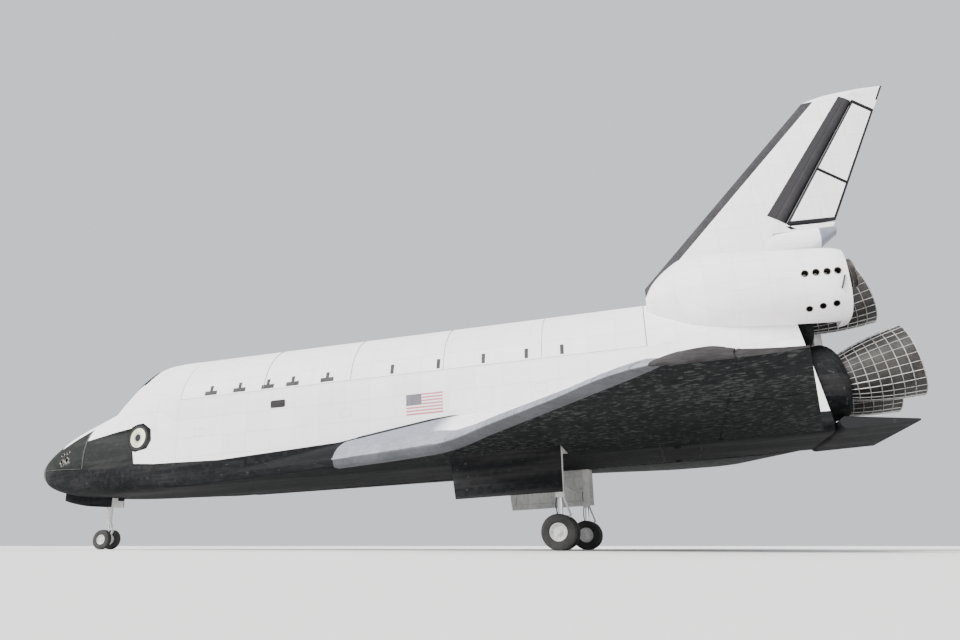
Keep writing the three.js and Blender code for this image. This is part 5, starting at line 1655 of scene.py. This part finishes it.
def chute_housing(name, grow=0.0):
    start, second, end = CHUTE_HOUSING[[0, 1, -1], 0]
    xs = np.append(start + (second - start) * np.linspace(0, 1, 8) ** 2, np.linspace(second, end, 24)[1:])
    t = round_angles(CHUTE_POINTS)
    c, s = bulged(np.cos(t), CHUTE_POWER), bulged(np.sin(t), CHUTE_POWER)
    rings = []
    for x in xs:
        z, half, height = read_table(CHUTE_HOUSING, x)
        at_x = x + mix(-grow, grow, (x - start) / (end - start))
        rings.append(np.stack([np.full(CHUTE_POINTS, at_x), (half + grow) * c, z + (height + grow) * s], 1))
    return loft(name, rings)


print("chute housing from", CHUTE_HOUSING[0, 0], "to", CHUTE_HOUSING[-1, 0], "m")

# %% [markdown]
# The fin and the rudder share their look: white blankets, a dark metal strip over the hinge, and dark tiles
# along the edges where two pieces meet. They are outlines of x and z, so they line up across the pieces.

# %% Fin and its edge
FIN_BAND, EDGE_LINE = 1.38, 0.06


def hinge_band():
    """Corners of the dark strip over the hinge, anticlockwise."""
    (low, wide), (high, narrow) = ((z, FIN_BAND * radius) for z, radius in zip(RUDDER_Z, CONE_RADII))
    return [across_hinge(*at) for at in ((low, wide), (low, -wide), (high, -narrow), (high, narrow))]


def ledge_band(depth):
    """Corners of the black band under the rudder, along its foot."""
    x, z = across_hinge(RUDDER_Z[0], -FIN_LEDGE)
    start = across_hinge(RUDDER_Z[0], CONE_RADII[0])
    return [(start[0], start[1] - 0.02), (x, z - depth), (39, z - depth), (39, z), (x, z)]


def fin_finish(name, *lines):
    """White blankets, with the grey strip and black lines inside the given outlines of x and z."""
    f = Finish(name, Specular_IOR_Level=0.2)
    x, _, z = f.body_xyz()
    grey, black = f.inside(x, z, hinge_band()), 0.0
    for corners in lines:
        black = f.inside(x, z, corners) | black
    tone, _, height = blanket_look(f)
    seal = f.blend(f.noise(12, (1, 1, 4), 4), *SEAL_TONES)
    tone = f.blend(black, f.blend(grey, tone, seal), (0.012, 0.012, 0.014))
    f.wear(tone, f.between(grey | black, 0.7, 0.75))
    f.raise_by(height, SEAM_DEPTH)
    return f


fin = whole_fin("fin_skin")
under_housing = block((32.25, 40), FIN_REACH, (0, 4.9))
minus(fin, rudder_space(0, 0, FIN_LEDGE), hinge_cone("tool", RUNNING_GAP), under_housing)
minus(fin, fin_edge_space(FIN_EDGE), tail_hull(-GAP), over_doors(), chute_housing("tool", GAP))
tip_line = hinge_box(RUDDER_Z[1], (-0.2, -4), (-0.1, 0.07))
low, high = (fin_at(z, "back") - 0.07 for z in (9.9, 11))
tip_edge = [(low, 9.9), (38, 9.9), (38, 11), (high, 11)]
FIN_SKIN = fin_finish("fin_skin", ledge_band(0.14), tip_line, tip_edge)
dress(fin, FIN_SKIN, "white_skin", "fin")
edge = within(whole_fin("fin_edge_strip"), fin_edge_space(FIN_EDGE - GAP))
minus(edge, tail_hull(-GAP), over_doors())
dress(edge, FIN_CARBON, "grey_panels", "fin_leading_edge")
housing = finish_as(soften(chute_housing("chute_housing_skin")), WHITE_BLANKETS, EDGE_UPPER)
# The back end of the housing takes a grey finish: a painted shadow on the white housing, under the rudder.
paint_where(housing, 1, lambda m, w: m[:, 0] > CHUTE_SHADOW_X)
hand_over(housing, "white_skin", "chute_housing")

# %% [markdown]
# The rudder splits down its middle and the halves swing apart as a brake. Each half is two panels, upper and
# lower, cut from the same whole fin behind the hinge, and hollowed along their front for the cone to turn in.

# %% Rudder
RUDDER_INSET, HALF_GAP, SPLIT_GAP = 0.015, 0.005, 0.008

cone = hinge_cone("rudder_hinge_seal", shorten=0.02)
dress(cone, SEAL_METAL, "hinge_seal", "rudder_hinge_cone", body="rudder")


def rudder_panel(name, side, way):
    """way is 1 for an upper panel and -1 for a lower one."""
    level = [RUDDER_SPLIT + way * SPLIT_GAP, RUDDER_SPLIT + way * 8]
    part = side_prism(hinge_box(RUDDER_Z[0], (3, -4), level), FIN_REACH)
    half = block((30, 40), sided(side, HALF_GAP, 1), (4, 12))
    panel = within(whole_fin(name), rudder_space(RUDDER_INSET, -1.1, RUDDER_FOOT), part, half)
    return minus(panel, hinge_cone("tool", 1.7 * RUNNING_GAP, -0.4))


def panel_finish(name, way):
    """Dark lines along the trailing edge, the split, and the foot or the top."""
    low, high = RUDDER_Z
    back, top = fin_at(4.5, "back"), fin_at(10.6, "back")
    trailing = [(back - 0.1, 4.5), (back + 0.5, 4.5), (top + 0.5, 10.6), (top - 0.08, 10.6)]
    split = hinge_box(low, (0.6, -4), (RUDDER_SPLIT - EDGE_LINE, RUDDER_SPLIT + EDGE_LINE))
    z = across_hinge(low, -RUDDER_FOOT)[1] + RUDDER_INSET
    foot = [(30, z - 0.5), (40, z - 0.5), (40, z + 0.11), (30, z + 0.11)]
    return fin_finish(name, trailing, split, hinge_box(high, (0.6, -4), (-0.07, 0.5)) if way > 0 else foot)


for way, level in ((-1, "lower"), (1, "upper")):
    skin = panel_finish(f"rudder_skin_{level}", way)
    for side, word in SIDES:
        panel = rudder_panel(f"rudder_skin_{level}_{word}", side, way)
        dress(panel, skin, "white_skin", f"rudder_panel_{level}_{word}", body=f"speed_brake_{word}")

# %% [markdown]
# ## The body flap
# A thin wedge right across the tail, under the engines, with a round front that rolls in its cove.

# %% Body flap
FLAP_X, FLAP_Z, FLAP_RADIUS, FLAP_CHORD, FLAP_HALF = 32.918, -2.762, 0.19, 2.057, 3.065


def body_flap():
    x, z, radius, half = FLAP_X, FLAP_Z, FLAP_RADIUS, FLAP_HALF
    low, back = z - radius, x + FLAP_CHORD
    edge = [(back - 0.02, low + 0.058), (back, low + 0.09), (back - 0.02, low + 0.12)]
    wedge = [(x, low), *edge, (x, z + radius)]
    flap = side_prism(wedge, (-half, half))
    flap.name = "body_flap_skin"
    return carve(flap, "UNION", rod("tool", (x, -half, z), (x, half, z), radius, sides=72))


dress(body_flap(), BLACK_TILES, "black_tiles", "body_flap", body="body_flap")

# %% [markdown]
# ## Landing gear
# The gear is drawn in the ground frame. Tyres and wheels are turned bodies: the tyre's profile has rain
# grooves, and the wheel has a dish with bolts.

# %% Wheels
MAIN_TYRE = {"radius": 0.565, "width": 0.406, "rim": 0.29, "y": 0.38, "axle": 0.055}
NOSE_TYRE = {"radius": 0.406, "width": 0.224, "rim": 0.205, "y": 0.279, "axle": 0.036}
WHEELBASE, MAIN_TRACK = 20.33, 3.454
NOSE_GEAR = np.array([MIDDLE_X - WHEELBASE, 0, NOSE_TYRE["radius"]])
GROOVES, GROOVE_DEPTH = (-0.2, 0, 0.2), 0.011
# A wheel's profile in shares of the tyre's width and of the rim's radius.
WHEEL = [
    (-0.4, 0), (-0.4, 0.8), (-0.38, 1), (-0.3, 1), (-0.26, 0.93), (0.26, 0.93), (0.34, 1), (0.4, 1),
    (0.41, 0.94), (0.34, 0.86), (0.24, 0.8), (0.2, 0.6), (0.2, 0.45), (0.32, 0.42), (0.32, 0.3),
    (0.4, 0.28), (0.44, 0.2), (0.44, 0),
]
NUT = [
    (-0.01, 0.001), (-0.01, 0.014), (0.012, 0.014), (0.016, 0.011), (0.016, 0.006), (0.026, 0.006),
    (0.026, 0.001),
]
BOLTS = 10


def main_gear(side):
    return np.array([MIDDLE_X, side * MAIN_TRACK, MAIN_TYRE["radius"]])


def tyre(name, size, centre, body, node):
    """A turned ring about the axle, with its shoulders given from rim to tread."""
    r, rim = size["radius"], size["rim"]
    wall, half = r - rim, 0.5 * (rim + r)
    shoulder = [
        (-0.42, rim), (-0.47, rim + 0.12 * wall), (-0.5, half), (-0.485, half + 0.22 * wall),
        (-0.44, 0.955 * r), (-0.36, 0.985 * r), (-0.28, 0.996 * r),
    ]
    low = r - GROOVE_DEPTH
    tread = []
    for groove in GROOVES:
        tread += [(groove - 0.022, r), (groove - 0.014, low), (groove + 0.014, low), (groove + 0.022, r)]
    profile = shoulder + tread + [(-share, radius) for share, radius in shoulder[::-1]]
    angles = round_angles(96)
    rings = []
    for share, radius in profile + profile[:1]:
        circle = [(radius * math.cos(a), share * size["width"], radius * math.sin(a)) for a in angles]
        rings.append(centre + np.array(circle))
    made = face_out(loft(name, rings, grounded=True, closed=False))
    dress(made, TYRE_RUBBER, "tyre_rubber", node, body=body, angle=40)


def wheel_pair(name, size, centre, body):
    """Two dished wheels on one axle, with a ring of bolts on each."""
    width, rim = size["width"], size["rim"]
    reach = np.array([0, size["y"], 0])
    parts, bolts = [], []
    for side, _ in SIDES:
        middle = centre + side * reach
        profile = [(share * width, radius * rim * 0.975) for share, radius in WHEEL]
        parts.append(turned("tool", profile, middle, (0, side, 0), 72, grounded=True))
        for a in round_angles(BOLTS):
            at = np.array([0.7 * rim * math.cos(a), side * 0.215 * width, 0.7 * rim * math.sin(a)])
            bolts.append((middle + at, (0, side, 0), (1, 0, 0)))
    parts.append(rod("tool", centre - reach, centre + reach, size["axle"], grounded=True))
    dress(joined(name, *parts), GEAR_PAINT, "gear_paint", body, body=body)
    nut = small_lathe("nut", NUT, (BRAKE_METAL,), [0] * (len(NUT) - 1), sides=6)
    studs(f"{name}_bolts", nut, bolts, "gear_paint", body, rim / MAIN_TYRE["rim"], grounded=True)
    bpy.data.objects.remove(nut)


for side, word in SIDES:
    hub, body = main_gear(side), f"main_wheels_{word}"
    wheel_pair(f"main_wheel_discs_{word}", MAIN_TYRE, hub, body)
    for which, way in (("inner", -side), ("outer", side)):
        place = hub + (0, way * MAIN_TYRE["y"], 0)
        tyre(f"main_tyre_rubber_{which}_{word}", MAIN_TYRE, place, body, f"main_tyre_{which}_{word}")
    place = NOSE_GEAR + (0, side * NOSE_TYRE["y"], 0)
    tyre(f"nose_tyre_rubber_{word}", NOSE_TYRE, place, "nose_wheels", f"nose_tyre_{word}")
wheel_pair("nose_wheel_discs", NOSE_TYRE, NOSE_GEAR, "nose_wheels")

# %% [markdown]
# A leg is a painted cylinder with a bright piston sliding in it, a trunnion it folds on, a brace, and a
# scissor link that keeps the wheels straight. The links are flat forged arms, wide at the leg and narrow at
# the knee, so each is a short loft of rounded rectangles. Hoses run down the leg in long clips.

# %% Legs
HOSE, HOSE_APART = 0.022, 0.1


def arm(a, b, wide, thick):
    """A flat arm from a to b. wide is its width across Y at either end, and thick its depth."""
    a, b = np.asarray(a, float), np.asarray(b, float)
    over = np.cross((b - a) / np.linalg.norm(b - a), (0, 1, 0))
    rings = []
    for t, end in ((0, 0.8), (0.06, 1), (0.94, 1), (1, 0.8)):
        w, h = mix(*wide, t) * end, mix(*thick, t) * end
        outline = rounded_box((0, 0), (w, h), 0.15 * min(w, h), along=1)
        rings.append([mix(a, b, t) + np.array([0, p, 0]) + over * q for p, q in outline])
    return loft("tool", rings, grounded=True)


def collar(a, b, radius, bevel=0.012):
    return rod("tool", a, b, radius, sides=48, grounded=True, bevel=bevel)


def scissor(ends, knee, wide, thick, half, radius):
    """Two arms that meet at the knee, with the pin through it."""
    reach = (0, half, 0)
    arms = [arm(end, knee, wide, thick) for end in ends]
    return [*arms, collar(knee - reach, knee + reach, radius, radius / 6)]


def over_hub(hub):
    """Gives the place at a height over a hub."""
    return lambda height: hub + (0, 0, height)


def axle_bore(hub, size):
    reach = (0, 0.3, 0)
    return rod("tool", hub - reach, hub + reach, size["axle"] + RUNNING_GAP, sides=48, grounded=True)


def leg_foot(hub, size, half, radius, socket):
    """The sleeve round the axle, with the socket that the piston goes into: its low and high end, radius."""
    up = over_hub(hub)
    foot = collar(hub - (0, half, 0), hub + (0, half, 0), radius)
    carve(foot, "UNION", collar(up(socket[0]), up(socket[1]), socket[2]))
    return minus(foot, axle_bore(hub, size))


def piston(name, hub, size, low, high, radius, body):
    up = over_hub(hub)
    shaft = rod(name, up(low), up(high), radius, sides=48, grounded=True)
    minus(shaft, axle_bore(hub, size))
    dress(shaft, STRUT_CHROME, "gear_paint", body=body)


def main_leg(side, word):
    hub, well = main_gear(side), MAIN_WELL
    up = over_hub(hub)
    y = side * MAIN_TRACK
    roof = to_ground((MAIN_GEAR_X, y, well["roof"]))[0][2] - 0.12
    brace = to_ground((well["front"] + 0.6, y, BELLY_Z + 0.62))[0]
    top = up(roof - hub[2])
    pin_ends = well["inner"] + GAP, well["outer"] - GAP
    inner, outer = (np.array([MIDDLE_X, side * end, roof - 0.14]) for end in pin_ends)
    ends, knee = (up(0.12) + (0.09, 0, 0), up(1.19) + (0.09, 0, 0)), up(0.56) + (0.33, 0, 0)
    parts = [
        collar(up(1.1), top, 0.13),
        collar(up(1.1), up(1.3), 0.15),
        collar(up(1.5), up(1.56), 0.145),
        collar(top - (0, 0, 0.26), top, 0.15),
        collar(inner, outer, 0.07),
        collar(brace, up(1.5), 0.05),
        *scissor(ends, knee, (0.22, 0.1), (0.06, 0.05), 0.07, 0.036),
    ]
    foot = leg_foot(hub, MAIN_TYRE, 0.14, 0.105, (0.03, 0.2, 0.11))
    leg = joined(f"main_leg_paint_{word}", foot, *parts)
    dress(leg, GEAR_PAINT, "gear_paint", f"main_gear_leg_{word}")
    piston(f"main_leg_piston_{word}", hub, MAIN_TYRE, 0.05, 1.25, 0.088, "airframe")
    heights = np.linspace(0.16, 1.72, 30)
    hose = np.array([up(h) + (-0.125 - 0.02 * math.sin(h * 9), HOSE_APART / 2, 0) for h in heights])
    lines, outs = [hose, hose - (0, HOSE_APART, 0)], [(-1, 0, 0)] * 2
    given = {"outs": outs, "closed": False, "grounded": True}
    beads(f"main_leg_hoses_{word}", lines, (HOSE, HOSE), GASKET, "hinge_seal", **given)


def nose_leg():
    hub, well = NOSE_GEAR, NOSE_WELL
    up = over_hub(hub)
    roof = to_ground((3.581, 0, well["roof"]))[0][2] - 0.06
    brace = to_ground((well["front"] + 0.9, 0, well["roof"] - 0.25))[0]
    top = up(roof - hub[2])
    pin = np.array([0, well["outer"] - GAP, 0])
    parts = [
        collar(up(0.78), top, 0.1),
        collar(up(0.78), up(0.92), 0.115),
        collar(top - (0, 0, 0.2), top, 0.115),
        collar(top - (0, 0, 0.11) - pin, top - (0, 0, 0.11) + pin, 0.055),
        collar(brace, up(1.11), 0.04),
    ]
    leg = joined("nose_leg_paint", *parts)
    dress(leg, GEAR_PAINT, "gear_paint", "nose_gear_leg")


def nose_fork():
    """What turns with the steering: sleeve, scissor link and piston, up to just under the leg."""
    hub, top = NOSE_GEAR, 0.78 - 0.006
    up = over_hub(hub)
    ends, knee = (up(0.09) + (0.07, 0, 0), up(0.69) + (0.1, 0, 0)), up(0.34) + (0.24, 0, 0)
    foot = leg_foot(hub, NOSE_TYRE, 0.1, 0.072, (0.02, 0.15, 0.078))
    links = scissor(ends, knee, (0.16, 0.07), (0.05, 0.04), 0.05, 0.028)
    fork = joined("nose_fork_paint", foot, collar(up(top - 0.124), up(top), 0.112), *links)
    dress(fork, GEAR_PAINT, "gear_paint", "nose_gear_fork", body="nose_gear_fork")
    piston("nose_fork_piston", hub, NOSE_TYRE, 0.03, top - 0.1, 0.066, "nose_gear_fork")


for side, word in SIDES:
    main_leg(side, word)
nose_leg()
nose_fork()

# %% [markdown]
# ## Gear doors
# The doors hang open beside the wells. Their outer faces carry the belly's tiles and their inner faces are
# white with stiffening ribs, which are beads again.

# %% Doors of the gear
DOOR_DROP, NOSE_DOOR_DROP = 1.45, 0.4
RIB_DROPS, CROSS_RIBS = (0.2, 0.72, 1.25), 7


def door_plate(name, side, tops, bottoms, ys, count):
    """A plate between two lines of x and z, tiled outside and painted inside."""
    rings = []
    for t in np.linspace(0, 1, count):
        edge = [mix(np.array(a), np.array(b), t) for a, b in zip(tops, bottoms)]
        rings.append([(x, ys[0], z) for x, z in edge] + [(x, ys[1], z) for x, z in edge[::-1]])
    door = finish_as(soften(loft(name, rings)), BLACK_TILES, GEAR_PAINT)
    paint_where(door, 1, lambda m, w: side * w[:, 1] < -0.5)
    return door


def main_gear_door(side, word):
    well, top = MAIN_WELL, wing_floor(MAIN_WELL["outer"]) - GAP
    front, back = well["front"], well["back"]
    tops = [(x, top) for x in np.linspace(front + 0.02, back - 0.02, 24)]
    bottoms = [(x, top - DOOR_DROP) for x in np.linspace(front + 0.16, back - 0.06, 24)]
    ys = (side * (well["outer"] - 0.07), side * well["outer"])
    door = door_plate(f"main_gear_door_skin_{word}", side, tops, bottoms, ys, 12)
    hand_over(door, "black_tiles", f"main_gear_door_{word}")
    inner = side * (well["outer"] - 0.078)
    along = mix(front + 0.15, back - 0.15, np.linspace(0.02, 0.98, 12))
    lines = [[(x, inner, top - drop) for x in along] for drop in RIB_DROPS]
    for x in np.linspace(front + 0.35, back - 0.3, CROSS_RIBS):
        lines.append([(x, inner, top - drop) for drop in np.linspace(0.08, 1.38, 8)])
    name, outs = f"main_gear_door_ribs_{word}", [(0, -side, 0)] * len(lines)
    beads(name, lines, (0.06, 0.05), GEAR_PAINT, "gear_paint", outs, closed=False)


def nose_gear_door(side, word):
    well = NOSE_WELL
    xs = np.linspace(well["front"] + 0.01, well["back"] - 0.01, 20)
    tops = [(x, under_skin(x, 0.8) + 0.04) for x in xs]
    bottoms = [(x, under_skin(x, 0.8) - NOSE_DOOR_DROP) for x in xs]
    ys = (side * (well["outer"] - 0.042), side * (well["outer"] - 0.004))
    door = door_plate(f"nose_gear_door_skin_{word}", side, tops, bottoms, ys, 6)
    hand_over(door, "black_tiles", f"nose_gear_door_{word}")


for side, word in SIDES:
    main_gear_door(side, word)
    nose_gear_door(side, word)

# %% [markdown]
# ## Marks and small fittings
# What is left on the skins is small: covers over the door hinges, a grille, outlines of hatches and vents,
# and a plain striped panel. Covers are one small plate set on many points.

# %% Hinge covers
COVER_Z = 0.72
FOOTED_COVERS = [10.0, 11.28, 12.53, 13.61, 15.08]
PLAIN_COVERS = [17.75, 19.58, 21.31, 22.92, 24.22]


def small_plate(name, size, at, thickness):
    """A low plate near the origin with a small step in from its foot to its top."""
    outline = np.array(at) + np.multiply([(-0.5, -0.5), (0.5, -0.5), (0.5, 0.5), (-0.5, 0.5)], size)
    levels = ((-0.03, 1), (thickness * 0.6, 1), (thickness, 0.9))
    rings = [[(x, y, z) for x, y in mix(np.array(at), outline, grow)] for z, grow in levels]
    return finish_as(soften(loft(name, rings, grounded=True), 40), GREY_MARK)


def cover_places(xs, side):
    y = side * math.sqrt(BODY_RADIUS**2 - COVER_Z**2)
    return [((x, y, COVER_Z), (0, y, COVER_Z), (-side, 0, 0)) for x in xs]


dash = small_plate("dash", (0.13, 0.39), (0, 0.045), 0.012)
foot = small_plate("foot", (0.54, 0.17), (0, -0.075), 0.014)
for side, word in SIDES:
    body = f"bay_door_{word}"
    places = cover_places(FOOTED_COVERS + PLAIN_COVERS, side)
    studs(f"hinge_covers_{word}", dash, places, "hinge_seal", body)
    studs(f"hinge_feet_{word}", foot, cover_places(FOOTED_COVERS, side), "hinge_seal", body)
bpy.data.objects.remove(dash)
bpy.data.objects.remove(foot)

# %% [markdown]
# Vents and hatches in the sides lie flush, so only the line of their joint shows. It is a bead along a
# rounded outline, laid on the skin point by point. The grille has a real frame and slats, over a dark sheet
# that is painted shade for the room behind them.

# %% A grille and outlines on the body's sides
GRILLE = {"x": 13.05, "z": -0.11, "long": 0.6, "high": 0.27}
# Outlines of vents and hatches on the sides: x, z, long, high.
OUTLINES = [
    (9.6, -0.9, 0.42, 0.3), (15.9, -0.75, 0.42, 0.3), (23.4, -0.55, 0.42, 0.3),
    (28.4, -0.6, 0.5, 0.34), (29.7, -0.9, 0.72, 0.95), (31.0, -1.3, 0.6, 0.6),
]


def outline_path(x, z, long, high):
    return rounded_box((x, z), (long, high), 0.05)


def skin_patch(name, side, span, levels, proud):
    """A thin skin that follows the body's side between two stations and two levels."""
    rings = []
    for x in np.linspace(*span, 13):
        face = np.array([beside_skin(x, z, side) for z in np.linspace(*levels, 9)])
        rings.append([*(face + (0, side * proud, 0)), *(face - (0, side * 0.01, 0))[::-1]])
    return loft(name, rings)


def grille():
    x, z, long, high = GRILLE.values()
    span, levels = (x - long / 2, x + long / 2), (z - high / 2, z + high / 2)
    # A dark sheet under the slats: painted shade where the grille's opening would be.
    back = skin_patch("side_grille_back", -1, span, levels, 0.003)
    dress(back, DARK_PANEL, "hinge_seal")
    lines, outs = skin_lines([outline_path(x, z, long, high)], sides=(-1,))
    beads("side_grille_frame", lines, (0.04, 0.02), GREY_MARK, "hinge_seal", outs)
    slats = [[(t, level) for t in np.linspace(*span, 6)] for level in np.linspace(*levels, 7)[1:-1]]
    lines, outs = skin_lines(slats, sides=(-1,))
    beads("side_grille_slats", lines, (0.024, 0.012), GREY_MARK, "hinge_seal", outs, closed=False)


lines, outs = skin_lines([outline_path(*row) for row in OUTLINES])
beads("side_outlines", lines, (0.018, 0.006), PALE_SEAL, "white_skin", outs)
grille()

# %% [markdown]
# ## A striped panel
# A panel of plain stripes with a grey-blue corner sits on each side of the body. It is a skin only
# millimetres thick that follows the body, and its stripes are worked out from height alone.

# %% The stripes
STRIPES, STRIPES_X, STRIPES_Z, CORNER_X = 13, (18.32, 19.74), (-1.09, -0.32), 18.92


def stripe_finish(name):
    f = Finish(name)
    x, _, z = f.body_xyz()
    low, high = STRIPES_Z
    odd = f.maths("MODULO", (z - low) * (STRIPES / (high - low)), 2.0) < 1.0
    foot = mix(low, high, 6 / STRIPES)
    corner = f.inside(x, z, [(18.0, foot), (CORNER_X, foot), (CORNER_X, 0.2), (18.0, 0.2)])
    tone = f.blend(odd, (0.86, 0.83, 0.84), (0.52, 0.12, 0.14))
    tone = f.blend(corner, tone, (0.06, 0.062, 0.085))
    weather = f.noise(6, (1, 1, 0.3), 4)
    f.wear(f.blend(weather * 0.25, tone, (0.62, 0.6, 0.61)), f.between(weather, 0.45, 0.7))
    return f


for side, word in SIDES:
    panel = skin_patch(f"striped_panel_{word}", side, STRIPES_X, STRIPES_Z, 0.004)
    dress(panel, stripe_finish(f"stripes_{word}"), "white_skin")

# %% [markdown]
# ## The belly
# Two square doors close over the fuel lines behind the main wells. Only their outlines show.

# %% Belly outlines
BELLY_DOOR = {"x": 27.9, "y": 1.2, "long": 1.3, "wide": 1.25}

lines = []
for side, _ in SIDES:
    x, y, long, wide = BELLY_DOOR.values()
    outline = rounded_box((x, side * y), (long, wide), 0.06, along=3)
    lines.append([(px, py, under_skin(px, py)) for px, py in outline])
beads("belly_door_outlines", lines, (0.03, 0.008), GASKET, "black_tiles", [(0, 0, -1)] * 2)

# %% [markdown]
# ## Floor, light and camera
# The photograph looks up at the vehicle from near the nose, on the port side. Here it stands on its own
# wheels, so the camera is at floor level. Wide soft lamps and an even sky stand in for a bright day, and the
# floor is plain and pale.

# %% Stage
FLOOR_REACH = 400
SKY, SKY_STRENGTH = (0.93, 0.945, 1.0, 1), 0.95

corners = [(-1, -1, 0), (1, -1, 0), (1, 1, 0), (-1, 1, 0)]
floor = mesh_object("studio_floor", np.multiply(corners, FLOOR_REACH), [(0, 1, 2, 3)], grounded=True)
finish_as(floor, Finish("pale_floor", Base_Color=(0.72, 0.72, 0.71, 1), Roughness=0.9))

world = bpy.data.worlds.new("soft_sky")
world.use_nodes = True
sky = world.node_tree.nodes["Background"].inputs
sky[0].default_value, sky[1].default_value = SKY, SKY_STRENGTH
scene.world = world


def light(name, seen_from, power, spread, colour=(1, 1, 1)):
    """A wide, soft lamp without end: only the way it shines matters."""
    lamp = bpy.data.lights.new(name, "SUN")
    lamp.energy, lamp.angle, lamp.color = power, spread, colour
    made = bpy.data.objects.new(name, lamp)
    made.rotation_euler = Vector(seen_from).to_track_quat("Z", "Y").to_euler()
    scene.collection.objects.link(made)


light("key", (-30, -34, 40), 7.2, 0.5, (1.0, 0.98, 0.95))
light("fill", (40, -36, 14), 1.0, 1.2)
light("rim", (10, 48, 34), 1.2, 0.8)

camera = bpy.data.objects.new("camera", bpy.data.cameras.new("camera"))
scene.collection.objects.link(camera)
scene.camera = camera
camera.data.lens, camera.data.sensor_width = 27.7, 36
camera.location = (9.6, -28.0, 0.15)
camera.rotation_euler = (math.radians(90 + 17), 0, math.radians(15))
